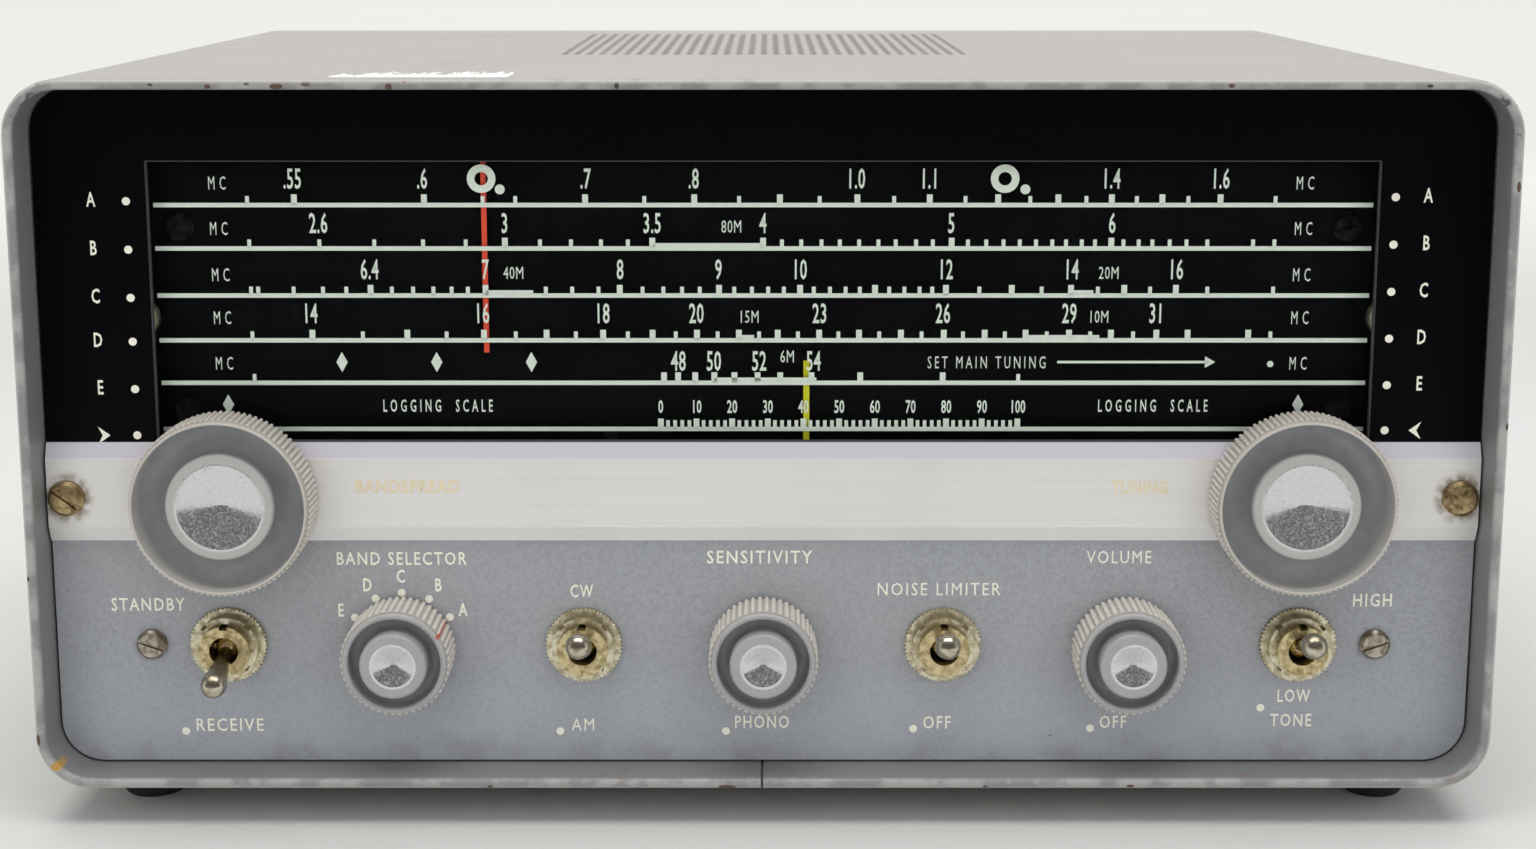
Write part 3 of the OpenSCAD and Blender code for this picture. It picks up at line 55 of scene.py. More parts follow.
SCREWS_DIVIDE_Z = 60.0      # front screws above it hold the trim strip, those below it the panel
TUBE_SILVER_Z = (98, 104)   # where the tubes' silver begins, and where it is full
BIG_KNOB_R, BIG_BOSS_R = 21.0, 12.6
SMALL_KNOB_R, SMALL_BOSS_R = 12.7, 7.8
FLUTE_DEPTH = 0.55

# Sockets of a Mix node that blends colours
MIX_FACTOR, MIX_A, MIX_B, MIX_RESULT = 0, 6, 7, 2


def metres(lengths):
    return tuple(length * MM for length in lengths)


# Materials
class Shade:
    """A procedural material. Its methods add nodes and return their outputs, and take places and
    sizes in millimetres."""

    def __init__(self, name, color, rough, metal=0.0, specular=0.5):
        self.mat = bpy.data.materials.new(name)
        self.mat.use_nodes = True
        self.tree = self.mat.node_tree
        self.bsdf = self.tree.nodes["Principled BSDF"]
        self.place = self.add("ShaderNodeTexCoord").outputs["Object"]
        self.axes = self.add("ShaderNodeSeparateXYZ", {0: self.place}).outputs
        self.put("Base Color", (*color, 1.0))
        self.put("Roughness", rough)
        self.put("Metallic", metal)
        self.put("Specular IOR Level", specular)
        self.relief = None

    def add(self, kind, inputs=None, **settings):
        node = self.tree.nodes.new(kind)
        for key, value in settings.items():
            setattr(node, key, value)
        for key, value in (inputs or {}).items():
            self.feed(node.inputs[key], value)
        return node

    def feed(self, socket, value):
        if isinstance(value, bpy.types.NodeSocket):
            self.tree.links.new(value, socket)
        else:
            socket.default_value = value

    def put(self, name, value):
        self.feed(self.bsdf.inputs[name], value)

    def math(self, kind, a, b=0.0):
        return self.add("ShaderNodeMath", {0: a, 1: b}, operation=kind).outputs[0]

    def noise(self, size, detail=3.0, rough=0.55, stretch=(1, 1, 1), shift=0.0):
        moved = {"Vector": self.place, "Scale": stretch, "Location": (shift, shift, shift)}
        place = self.add("ShaderNodeMapping", moved).outputs[0]
        inputs = {"Vector": place, "Scale": 1.0 / (size * MM), "Detail": detail, "Roughness": rough}
        return self.add("ShaderNodeTexNoise", inputs).outputs[0]

    def ramp(self, value, low, high, to_low=0.0, to_high=1.0):
        """A smooth step. Where low is the greater of the two, it falls."""
        inputs = {"Value": value, "From Min": low, "From Max": high, "To Min": to_low, "To Max": to_high}
        return self.add("ShaderNodeMapRange", inputs, interpolation_type="SMOOTHSTEP").outputs[0]

    def both(self, *masks):
        out = masks[0]
        for mask in masks[1:]:
            out = self.math("MULTIPLY", out, mask)
        return out

    def either(self, *masks):
        out = masks[0]
        for mask in masks[1:]:
            out = self.math("MAXIMUM", out, mask)
        return out

    def invert(self, value):
        return self.math("SUBTRACT", 1.0, value)

    def blend(self, mask, a, b):
        """Colour a where the mask is 0, b where it is 1."""
        node = self.add("ShaderNodeMix", data_type="RGBA")
        for number, value in ((MIX_FACTOR, mask), (MIX_A, a), (MIX_B, b)):
            if isinstance(value, tuple) and len(value) == 3:
                value = (*value, 1.0)
            self.feed(node.inputs[number], value)
        return node.outputs[MIX_RESULT]

    def offset(self, axis, at):
        """Distance along an axis from a place on it, in metres, with its sign."""
        return self.math("SUBTRACT", self.axes[axis], at * MM)

    def squares(self, a, b):
        return self.math("ADD", self.math("MULTIPLY", a, a), self.math("MULTIPLY", b, b))

    def length(self, a, b):
        return self.math("SQRT", self.squares(a, b))

    def radius(self, x, z):
        """Distance in millimetres from a line along Y."""
        return self.math("MULTIPLY", self.length(self.offset(X, x), self.offset(Z, z)), 1.0 / MM)

    def spot(self, x, z, half_w, half_h):
        """1 in the middle of an ellipse on a plane that faces the front, 0 outside."""
        dx = self.math("DIVIDE", self.offset(X, x), half_w * MM)
        dz = self.math("DIVIDE", self.offset(Z, z), half_h * MM)
        return self.ramp(self.squares(dx, dz), 1.0, 0.3)

    def chips(self, places, grain=0.8):
        """Small marks with ragged edges: (x, z, width, height) of each."""
        marks = self.either(*[self.spot(x, z, wide / 2, high / 2) for x, z, wide, high in places])
        ragged = self.math("MULTIPLY", self.noise(grain, 4.0, 0.7, shift=11.0), 1.6)
        return self.ramp(self.math("ADD", marks, ragged), 1.3, 1.38)

    def streak(self, x, z, angle, half_width, start=0.0):
        """A ray from a point, on a plane that faces the front; the angle is clockwise from up."""
        cosine = math.cos(math.radians(angle))
        sine = math.sin(math.radians(angle))
        dx = self.offset(X, x)
        dz = self.offset(Z, z)
        across = self.math("SUBTRACT", self.math("MULTIPLY", dx, cosine), self.math("MULTIPLY", dz, sine))
        along = self.math("ADD", self.math("MULTIPLY", dx, sine), self.math("MULTIPLY", dz, cosine))
        near = self.ramp(self.math("ABSOLUTE", across), half_width * 1.3 * MM, half_width * 0.7 * MM)
        return self.both(near, self.ramp(along, (start - 0.1) * MM, (start + 0.1) * MM))

    def inside_case(self):
        """1 on what lies inside the outline of the cabinet's front, 0 on its outer faces."""
        middle = (FLOOR + TOP) / 2
        beside = self.math("ABSOLUTE", self.axes[X])
        above = self.math("ABSOLUTE", self.offset(Z, middle))
        out_x = self.math("SUBTRACT", beside, (HALF_W - CORNER_R) * MM)
        out_z = self.math("SUBTRACT", above, (TOP - middle - CORNER_R) * MM)
        reach = self.length(self.math("MAXIMUM", out_x, 0.0), self.math("MAXIMUM", out_z, 0.0))
        return self.ramp(reach, (CORNER_R - 0.4) * MM, (CORNER_R - 1.0) * MM)

    def below(self, axis, at, soft):
        return self.ramp(self.axes[axis], (at + soft) * MM, (at - soft) * MM)

    def above(self, axis, at, soft):
        return self.ramp(self.axes[axis], (at - soft) * MM, (at + soft) * MM)

    def bump(self, height, depth, strength):
        """Relief, laid on what relief there is already."""
        inputs = {"Height": height, "Distance": depth * MM, "Strength": strength}
        if self.relief is not None:
            inputs["Normal"] = self.relief
        self.relief = self.add("ShaderNodeBump", inputs).outputs[0]
        self.put("Normal", self.relief)

    def become_glass(self, tint, shine, shine_rough, shine_amount):
        """Clear glass with a shine on it takes the place of the Principled shader."""
        clear = self.add("ShaderNodeBsdfTransparent", {"Color": (*tint, 1.0)}).outputs[0]
        inputs = {"Color": (*shine, 1.0), "Roughness": shine_rough}
        gloss = self.add("ShaderNodeBsdfGlossy", inputs).outputs[0]
        mixed = self.add("ShaderNodeMixShader", {0: shine_amount, 1: clear, 2: gloss}).outputs[0]
        self.tree.links.new(mixed, self.tree.nodes["Material Output"].inputs["Surface"])


# Chips in the cabinet's rim: (x, z, width, height) of each
RUSTY_CHIPS = (
    (-108.1, 173.4, 3.6, 1.8), (-101.5, 174, 2.6, 1.3), (-83.1, 173.2, 1.8, 2.6), (-123.3, 173.4, 1.8, 1.3),
    (-8.5, 9.6, 5.5, 1.2), (161, 161.5, 1.6, 4.5), (169, 151, 1.2, 3.0), (-169.3, 21, 1.4, 3.4),
    (104, 173.6, 1.8, 1.2), (86, 9.8, 2.2, 1.0), (-64, 9.6, 1.6, 0.9),
)
DARK_CHIPS = (
    (-32.5, 173.6, 1.3, 2.0), (-136, 173.8, 1.3, 0.8), (-114.6, 174, 1.6, 0.8), (148, 173.5, 1.8, 0.9),
    (-169.5, 60, 1.0, 1.5), (169.5, 96, 1.0, 2.2), (52, 9.7, 1.4, 0.9),
)
YELLOW_STAIN = ((-165.5, 14.5, 3.4, 2.4),)
RIM_RUST_COLOR = (0.12, 0.07, 0.055)
RIM_DARK_COLOR = (0.06, 0.05, 0.045)
SEAM_COLOR = (0.03, 0.028, 0.026)

# White scrape on the cabinet's top: its ends, its near edge, and its far edge before it is made ragged
SCRAPE_LEFT, SCRAPE_RIGHT = -98.0, -57.7
SCRAPE_NEAR, SCRAPE_FAR = -105.0, -69.0


def worn_rim(s, base):
    """The rolled rim, painted with a highlight in patches along its outer line, chipped, and bare at its
    upper corners.
    Also gives the mask of the chips."""
    edge = s.below(Y, RIM_Y + 1.0, 0.9)
    # painted highlight: the rim's rounded outer line is painted brighter in patches
    rim_highlight = s.both(edge, s.ramp(s.noise(9, 4.0, 0.6, shift=5.0), 0.42, 0.6, 0.1, 0.6))
    base = s.blend(rim_highlight, base, (0.5, 0.5, 0.49))
    rusty = s.chips(RUSTY_CHIPS, 0.5)
    dark = s.chips(DARK_CHIPS, 0.45)
    base = s.blend(s.both(edge, rusty), base, RIM_RUST_COLOR)
    base = s.blend(s.both(edge, dark), base, RIM_DARK_COLOR)
    sides = s.either(s.above(X, HALF_W - 9, 3), s.below(X, 9 - HALF_W, 3))
    corner = s.both(edge, s.above(Z, TOP - 13, 3), sides)
    bare = s.ramp(s.noise(2.6, 4.0, shift=2.0), 0.56, 0.62)
    base = s.blend(s.both(corner, bare), base, (0.09, 0.08, 0.085))
    return base, s.both(edge, s.either(rusty, dark))


def stained_recess(s, base):
    """Rust where the panel meets the floor of the recess, and a yellow stain at the lower left corner."""
    floor = s.both(s.below(Y, PANEL_Y - 2, 0.8), s.below(Z, FLOOR + 4.5, 0.6),
                   s.either(s.spot(106, 12.5, 15, 3), s.spot(164, 14, 7, 5),
                            s.spot(-30, 12.5, 16, 2), s.spot(-156, 14, 9, 4)))
    rust = s.ramp(s.noise(3.4, 5.0, 0.7, (0.5, 1, 1), 14.0), 0.5, 0.66, 0.0, 0.5)
    base = s.blend(s.both(floor, rust), base, (0.23, 0.13, 0.1))
    stain = s.both(s.below(Y, RIM_Y + 4.5, 3), s.chips(YELLOW_STAIN))
    return s.blend(stain, base, (0.5, 0.3, 0.08))


def dusty_top(s, base, cloud):
    """The top: duller, with a white scrape, smudges, scratches and rust. Also gives the mask of the
    scratches."""
    roof = s.above(Z, TOP - 0.8, 0.5)
    dust = s.blend(s.ramp(cloud, 0.35, 0.7), (0.335, 0.321, 0.308), (0.372, 0.356, 0.343))
    base = s.blend(roof, base, dust)
    ragged = s.math("ADD", s.axes[Y], s.math("MULTIPLY", s.noise(1.7, 4.0, 0.7, (1, 0.1, 1)), 58 * MM))
    taper = s.math("MULTIPLY", s.ramp(s.axes[X], SCRAPE_LEFT * MM, (SCRAPE_LEFT + 12) * MM), 5 * MM)
    before = s.ramp(s.math("SUBTRACT", ragged, taper), (SCRAPE_FAR + 0.5) * MM, (SCRAPE_FAR - 0.5) * MM)
    gaps = s.ramp(s.noise(2.4, 4.0, 0.6, (1, 0.3, 1)), 0.33, 0.36)
    scrape = s.both(roof, before, s.above(Y, SCRAPE_NEAR, 0.5), s.above(X, SCRAPE_LEFT, 0.6),
                    s.below(X, SCRAPE_RIGHT, 0.5), gaps)
    base = s.blend(scrape, base, (0.97, 0.97, 0.97))
    smudge = s.both(roof, s.ramp(s.noise(7, 6.0, 0.72, (1, 1.8, 1), 1.0), 0.56, 0.64, 0.0, 0.6),
                    s.ramp(s.noise(45, 2.0), 0.5, 0.6))
    base = s.blend(smudge, base, (0.24, 0.215, 0.195))
    scratch = s.both(roof, s.ramp(s.noise(6, 2.0, 0.5, (0.16, 6.0, 1.0), 4.0), 0.71, 0.73))
    base = s.blend(scratch, base, (0.55, 0.54, 0.52))
    rust = s.both(roof, s.below(Y, RIM_Y + 20.5, 14), s.ramp(s.noise(2.4, 3.0, shift=7.0), 0.72, 0.74))
    return s.blend(rust, base, (0.22, 0.11, 0.07)), scratch


def rim_seams(s):
    """1 on the seams: through the rim at the middle below, and in the mitres of its lower corners."""
    middle = s.ramp(s.math("ABSOLUTE", s.offset(X, -0.3)), 0.4 * MM, 0.2 * MM)
    left = s.both(s.below(X, 10 - HALF_W, 0.3), s.streak(-HALF_W, FLOOR + 2.6, 45.0, 0.22))
    right = s.both(s.above(X, HALF_W - 10, 0.3), s.streak(HALF_W, FLOOR + 1.6, -45.0, 0.22))
    mitres = s.both(s.above(Z, FLOOR + 7.4, 0.3), s.either(left, right))
    seams = s.either(s.both(s.below(Z, FLOOR + 3.2, 0.6), middle),
                     s.both(mitres, s.below(Z, FLOOR + 12, 0.4)))
    return s.both(s.below(Y, RIM_Y + 14.5, 1), seams)


def cabinet_paint():
    """Grey enamel, painted darker and bluer on the hem and inside the rim as painted shade."""
    s = Shade("cabinet_grey", (0.4, 0.4, 0.39), 0.42)
    grain = s.noise(1.0, 2.0)
    cloud = s.noise(60, 3.0, shift=3.0)
    base = s.blend(s.ramp(grain, 0.3, 0.7), (0.37, 0.366, 0.356), (0.41, 0.404, 0.392))
    base = s.blend(s.ramp(cloud, 0.35, 0.75, 0.0, 0.5), base, (0.43, 0.41, 0.385))
    # painted shade: the hem and the inside of the rim, which face the front and get less light, are painted
    # darker and bluer
    front = s.both(s.below(Y, RIM_Y + 16.5, 3), s.inside_case())
    base = s.blend(front, base, (0.232, 0.237, 0.238))
    base, chipped = worn_rim(s, base)
    base = stained_recess(s, base)
    base, scratched = dusty_top(s, base, cloud)
    base = s.blend(rim_seams(s), base, SEAM_COLOR)
    s.put("Base Color", base)
    s.put("Roughness", s.either(s.math("MULTIPLY", chipped, 0.8), s.ramp(cloud, 0.3, 0.7, 0.36, 0.5)))
    s.bump(grain, 0.04, 0.3)
    s.bump(s.invert(s.either(chipped, scratched)), 0.06, 0.5)
    return s.mat


def panel_paint():
    """Hammered grey below the trim strip and plain black above it."""
    s = Shade("panel_paint", (0.3, 0.32, 0.35), 0.4, specular=0.06)
    lumps = s.noise(0.85, 2.5, 0.55)
    cloud = s.noise(45, 2.0)
    grey = s.blend(s.ramp(lumps, 0.3, 0.7), (0.33, 0.342, 0.37), (0.393, 0.406, 0.437))
    grey = s.blend(s.ramp(cloud, 0.35, 0.7, 0.0, 0.3), grey, (0.38, 0.385, 0.395))
    # painted light: paler and bluer towards the bottom, where the panel lies in shade
    lower = s.both(s.below(Z, FLOOR + 23, 16), s.ramp(lumps, 0.25, 0.75, 0.5, 1.0))
    grey = s.blend(lower, grey, (0.405, 0.425, 0.475))
    # a little grime along the bottom
    grime = s.both(s.below(Z, FLOOR + 9, 6), s.ramp(s.noise(10, 4.0), 0.4, 0.75, 0.0, 0.35))
    grey = s.blend(grime, grey, (0.18, 0.175, 0.18))
    dust = s.ramp(s.noise(0.8, 2.0, shift=8.0), 0.76, 0.79, 0.0, 0.35)
    black = s.blend(dust, (0.0022, 0.002, 0.0035), (0.12, 0.12, 0.13))
    # painted highlight: a thin bright line along the edge of the window
    beside = s.math("SUBTRACT", s.math("ABSOLUTE", s.axes[X]), WINDOW_HALF_W * MM)
    above = s.math("SUBTRACT", s.math("ABSOLUTE", s.offset(Z, WINDOW_Z)), WINDOW_HALF_H * MM)
    window_highlight = s.ramp(s.math("ABSOLUTE", s.either(beside, above)), 0.3 * MM, 0.15 * MM)
    black = s.blend(window_highlight, black, (0.07, 0.075, 0.08))
    # the trim strip hides where the two meet
    split = s.above(Z, TRIM_LOW + 8, 0.2)
    color = s.blend(split, grey, black)
    nick = s.both(s.ramp(s.noise(2.2, 3.0, shift=6.0), 0.765, 0.78), s.invert(split))
    color = s.blend(nick, color, (0.12, 0.07, 0.05))
    s.put("Base Color", color)
    s.bump(s.math("MULTIPLY", lumps, s.invert(split)), 0.1, 0.5)
    return s.mat


def trim_metal():
    """Brushed bright metal, with a painted reflection that tints its upper bevel violet, and grime round
    the two screws.
    """
    s = Shade("trim_metal", (0.7, 0.69, 0.685), 0.42, 0.25)
    brush = s.noise(0.8, 3.0, 0.6, (0.012, 1.0, 4.0))
    cloud = s.noise(40, 3.0)
    color = s.blend(s.ramp(brush, 0.3, 0.7), (0.78, 0.765, 0.755), (0.84, 0.825, 0.815))
    color = s.blend(s.ramp(cloud, 0.45, 0.75, 0.0, 0.3), color, (0.7, 0.67, 0.625))
    # painted reflection: the upper bevel, which faces up, is tinted violet
    bevel = s.above(Z, TRIM_HIGH - 3.4, 0.2)
    color = s.blend(bevel, color, (0.72, 0.69, 0.77))
    around = [s.ramp(s.radius(x, TRIM_SCREW_Z), 7.0, 4.5) for x in (-TRIM_SCREW_X, TRIM_SCREW_X)]
    grime = s.both(s.either(*around), s.ramp(s.noise(2.0, 4.0), 0.35, 0.6, 0.0, 0.75))
    color = s.blend(grime, color, (0.28, 0.2, 0.12))
    s.put("Base Color", color)
    s.put("Roughness", s.ramp(brush, 0.2, 0.8, 0.36, 0.48))
    s.bump(brush, 0.015, 0.2)
    return s.mat


def knob_plastic(name, x, z, outer, boss, wear, line_angle):
    """Grey moulded plastic whose flutes have worn to a cream colour, and so have its lip and boss, as
    far as wear says. The angle is that of a red index line down the flutes."""
    s = Shade(name, (0.3, 0.31, 0.32), 0.38)
    r = s.radius(x, z)
    mottle = s.noise(3, 3.0)
    color = s.blend(s.ramp(mottle, 0.3, 0.7), (0.31, 0.318, 0.335), (0.35, 0.358, 0.375))
    color = s.blend(s.ramp(r, boss - 0.1, boss - 0.5, 0.0, wear), color, (0.45, 0.44, 0.425))
    color = s.blend(s.ramp(r, outer - 1.6, outer - 1.1, 0.0, wear), color, (0.52, 0.49, 0.45))
    flutes = s.ramp(r, outer - FLUTE_DEPTH - 0.12, outer - FLUTE_DEPTH + 0.08)
    color = s.blend(flutes, color, (0.5, 0.475, 0.445))
    crests = s.ramp(r, outer - FLUTE_DEPTH * 0.8, outer - 0.15)
    worn = s.both(crests, s.ramp(s.noise(2.5, 4.0, 0.65), 0.25, 0.6, 0.55, 1.0))
    color = s.blend(worn, color, (0.74, 0.69, 0.62))
    if line_angle is not None:
        color = s.blend(s.streak(x, z, line_angle, 0.45, outer - 1.0), color, (0.55, 0.13, 0.1))
    s.put("Base Color", color)
    s.put("Roughness", s.ramp(mottle, 0.3, 0.7, 0.33, 0.44))
    s.bump(s.noise(0.8, 2.0), 0.015, 0.3)
    return s.mat


def spun_metal(name, x, z):
    """Turned cap with about four rings to a millimetre, dulled by dust and specks."""
    s = Shade(name, (0.72, 0.72, 0.71), 0.22, 1.0)
    rings = s.math("SINE", s.math("MULTIPLY", s.radius(x, z), 24.0))
    speck = s.ramp(s.noise(0.7, 4.0, 0.6), 0.56, 0.72, 0.0, 0.6)
    dust = s.ramp(s.noise(0.55, 3.0, 0.6, shift=9.0), 0.4, 0.7, 0.08, 0.42)
    s.put("Base Color", s.blend(speck, (0.66, 0.66, 0.67), (0.42, 0.39, 0.37)))
    s.put("Metallic", s.invert(dust))
    s.put("Roughness", s.ramp(s.noise(1.0, 3.0, shift=3.0), 0.3, 0.75, 0.1, 0.22))
    s.bump(rings, 0.004, 0.3)
    s.bump(s.noise(0.7, 3.0), 0.01, 0.4)
    return s.mat


def tarnished(name, bright, dark, rough=0.32, size=2.5):
    """Metal with stains of a darker colour, rougher where it is stained."""
    s = Shade(name, bright, rough, 1.0)
    stain = s.noise(size, 5.0, 0.65)
    s.put("Base Color", s.blend(s.ramp(stain, 0.4, 0.66), bright, dark))
    s.put("Roughness", s.ramp(stain, 0.3, 0.7, rough - 0.08, rough + 0.2))
    s.bump(s.noise(0.8, 3.0), 0.012, 0.3)
    return s.mat


def front_screw_metal():
    """Tarnished brass in the trim strip, dull nickel in the panel."""
    s = Shade("screw_brass", (0.5, 0.38, 0.2), 0.32, 1.0)
    stain = s.noise(2.0, 5.0, 0.65)
    brass = s.blend(s.ramp(stain, 0.4, 0.66), (0.5, 0.38, 0.2), (0.2, 0.13, 0.06))
    nickel = s.blend(s.ramp(stain, 0.4, 0.66), (0.5, 0.46, 0.38), (0.26, 0.2, 0.15))
    s.put("Base Color", s.blend(s.above(Z, SCREWS_DIVIDE_Z, 1), nickel, brass))
    s.put("Roughness", s.ramp(stain, 0.3, 0.7, 0.26, 0.5))
    s.bump(s.noise(0.5, 3.0), 0.02, 0.35)
    return s.mat


def lever_metal():
    """Dull nickel, worn to brass on the ball that fills the bushing's mouth."""
    s = Shade("lever_nickel", (0.56, 0.52, 0.42), 0.2, 1.0)
    stain = s.noise(2.0, 5.0, 0.65)
    nickel = s.blend(s.ramp(stain, 0.4, 0.66), (0.6, 0.56, 0.46), (0.36, 0.31, 0.21))
    reach = s.length(s.offset(Y, PIVOT_Y), s.offset(Z, TOGGLE_Z))
    ball = s.ramp(reach, (LEVER_BALL_R + 0.5) * MM, (LEVER_BALL_R - 0.5) * MM)
    s.put("Base Color", s.blend(ball, nickel, (0.95, 0.8, 0.5)))
    s.put("Roughness", s.ramp(stain, 0.3, 0.7, 0.16, 0.36))
    s.bump(s.noise(0.8, 3.0), 0.012, 0.3)
    return s.mat


def plain(name, color, rough, metal=0.0, vary=0.12, size=6.0, bump=0.02, specular=0.5):
    """Colour with a little cloudiness and grain."""
    s = Shade(name, color, rough, metal, specular)
    cloud = s.noise(size, 4.0)
    dark = tuple(c * (1 - vary) for c in color)
    light = tuple(min(1.0, c * (1 + vary)) for c in color)
    s.put("Base Color", s.blend(s.ramp(cloud, 0.3, 0.7), dark, light))
    s.put("Roughness", s.ramp(cloud, 0.3, 0.7, max(0.05, rough - 0.07), min(1.0, rough + 0.07)))
    s.bump(s.noise(size * 0.12, 2.0), bump, 0.4)
    return s.mat


def print_ink(name, color, fade, size=2.0):
    """Silk-screened ink, thin in places."""
    s = Shade(name, color, 0.6, specular=0.15)
    thin = s.ramp(s.noise(size, 4.0, 0.6), 0.3, 0.75)
    faded = tuple(c * (1 - fade) for c in color)
    s.put("Base Color", s.blend(thin, faded, color))
    return s.mat


def clear_glass():
    """Flat glass of the dial, with a few smears in its shine."""
    s = Shade("clear_glass", (1.0, 1.0, 1.0), 0.02)
    smear = s.ramp(s.noise(18, 4.0), 0.4, 0.8, 0.015, 0.07)
    edge = s.add("ShaderNodeFresnel", {"IOR": 1.1}).outputs[0]
    s.become_glass((0.985, 0.99, 0.988), (1.0, 1.0, 1.0), smear, edge)
    return s.mat


def tube_glass():
    """Glass of the tubes, silvered at the top."""
    s = Shade("tube_glass", (0.9, 0.9, 0.88), 0.06)
    silver = s.ramp(s.axes[Z], *metres(TUBE_SILVER_Z))
    edge = s.add("ShaderNodeFresnel", {"IOR": 1.5}).outputs[0]
    shining = s.math("MAXIMUM", edge, s.math("MULTIPLY", silver, 0.9))
    s.become_glass((0.75, 0.78, 0.76), (0.9, 0.9, 0.9), 0.1, shining)
    return s.mat


RUBBER = (0.015, 0.015, 0.015)
CORD_COLOR = (0.6, 0.55, 0.4)

looks = {
    "cabinet": cabinet_paint(),
    "front_panel": panel_paint(),
    "trim_strip": trim_metal(),
    "dial_glass": clear_glass(),
    "dial_plate": plain("dial_black", (0.0045, 0.0045, 0.0055), 0.55, vary=0.2, size=30, bump=0.0,
                        specular=0.06),
    "feet": plain("foot_rubber", RUBBER, 0.7),
    "cord_grommet": plain("grommet_rubber", RUBBER, 0.6),
    "rear_cover": plain("cover_paint", (0.33, 0.34, 0.345), 0.45, vary=0.08, size=30, bump=0.05),
    "case_screws": tarnished("screw_steel", (0.55, 0.55, 0.54), (0.22, 0.18, 0.14)),
    "front_screws": front_screw_metal(),
    "dial_plate_screws": tarnished("plate_screw", (0.05, 0.047, 0.045), (0.02, 0.018, 0.018), 0.5),
    "nuts": tarnished("nickel", (0.76, 0.71, 0.54), (0.55, 0.48, 0.31), 0.36, 1.6),
    "toggle_switches": tarnished("switch_brass", (0.66, 0.56, 0.32), (0.42, 0.33, 0.16), 0.3, 1.6),
    "main_pointer": plain("pointer_red", (0.95, 0.105, 0.055), 0.5, vary=0.04, specular=0.2),
    "bandspread_pointer": plain("pointer_yellow", (0.78, 0.77, 0.03), 0.5, vary=0.04, specular=0.2),
    "tubes": tube_glass(),
    "dial_lamps": plain("lamp_glass", (0.6, 0.55, 0.4), 0.15),
    "transformers": plain("transformer_black", (0.025, 0.022, 0.02), 0.4),
    "coils": plain("coil_wax", (0.42, 0.2, 0.08), 0.5, size=2.0),
    "speaker_frame": plain("speaker_paint", (0.14, 0.15, 0.16), 0.45),
    "speaker_cone": plain("cone_paper", (0.03, 0.026, 0.024), 0.9, bump=0.15),
    "band_switch": plain("phenolic", (0.14, 0.07, 0.03), 0.5),
    "tube_sockets": plain("socket_phenolic", (0.05, 0.03, 0.02), 0.5),
    "main_cord": plain("main_cord_fabric", CORD_COLOR, 0.85, size=1.0),
    "bandspread_cord": plain("bandspread_cord_fabric", CORD_COLOR, 0.85, size=1.0),
    "drive_studs": plain("stud_black", (0.02, 0.02, 0.022), 0.45, 0.5),
}
looks["grille"] = looks["cabinet"]

# Finishes that several nodes share
SHARED = (
    (plain("plated_steel", (0.52, 0.51, 0.47), 0.38, 0.9, 0.1, 14),
     ("side_brackets", "chassis", "spindle_brackets", "antenna_terminals", "potentiometers",
      "phones_jack")),
    (tarnished("brass", (0.62, 0.49, 0.25), (0.4, 0.28, 0.12)),
     ("spindle_bushings", "main_drum")),
    (plain("gang_metal", (0.68, 0.68, 0.68), 0.4, 0.9, 0.06),
     ("tuning_gang", "bandspread_gang", "tuning_gang_rotor", "bandspread_rotor")),
    (plain("can_aluminium", (0.72, 0.72, 0.73), 0.32, 1.0, 0.06),
     ("if_cans", "filter_capacitor")),
    (plain("shaft_steel", (0.55, 0.55, 0.55), 0.3, 1.0, 0.06),
     ("tuning_spindle", "bandspread_spindle", "band_switch_rotor", "sensitivity_shaft",
      "volume_shaft")),
    (lever_metal(),
     ("standby_lever", "mode_lever", "limiter_lever", "tone_lever")),
)
for material, names in SHARED:
    for name in names:
        looks[name] = material

# Knobs: name, shaft's place, radius, boss's radius, how worn the lip is, angle of the index line
KNOBS = (
    ("tuning", TUNE_X, TUNE_Z, BIG_KNOB_R, BIG_BOSS_R, 1.0, None),
    ("bandspread", -TUNE_X, TUNE_Z, BIG_KNOB_R, BIG_BOSS_R, 1.0, None),
    ("band", -CONTROL_X, CONTROL_Z, SMALL_KNOB_R, SMALL_BOSS_R, 0.4, 58.0),
    ("sensitivity", 0.0, CONTROL_Z, SMALL_KNOB_R, SMALL_BOSS_R, 0.4, None),
    ("volume", CONTROL_X, CONTROL_Z, SMALL_KNOB_R, SMALL_BOSS_R, 0.4, None),
)
for label, x, z, outer, boss, wear, line_angle in KNOBS:
    looks[f"{label}_knob"] = knob_plastic(f"{label}_knob_plastic", x, z, outer, boss, wear, line_angle)
    looks[f"{label}_knob_cap"] = spun_metal(f"{label}_cap_metal", x, z)

for name, material in looks.items():
    mesh = nodes[name].data
    mesh.materials.clear()
    mesh.materials.append(material)
left_plain = sorted(set(nodes) - set(looks))
if left_plain:
    raise RuntimeError(f"nodes with no look: {left_plain}")

INK = print_ink("dial_ink", (0.88, 0.96, 0.86), 0.06)
CREAM = print_ink("panel_ink", (0.97, 0.95, 0.82), 0.1)
GOLD = print_ink("trim_ink", (0.8, 0.71, 0.52), 0.08, 8.0)


# Printed marks, all facing the front: places are (x, y, z) and sizes in millimetres
FACING = (math.pi / 2, 0, 0)
CAPITAL = 0.7               # height of the font's capitals, as a part of its size


def joined(parts, name, material, body):
    """Parts joined to one mesh that rides a body."""
    bpy.ops.object.select_all(action="DESELECT")
    for part in parts:
        part.select_set(True)
    bpy.context.view_layer.objects.active = parts[0]
    bpy.ops.object.transform_apply(location=True, rotation=True, scale=True)
    bpy.ops.object.join()
    out = bpy.context.view_layer.objects.active
    bpy.ops.object.origin_set(type="ORIGIN_CURSOR")
    out.name = out.data.name = name
    out.data.materials.clear()
    out.data.materials.append(material)
    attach(out, body)


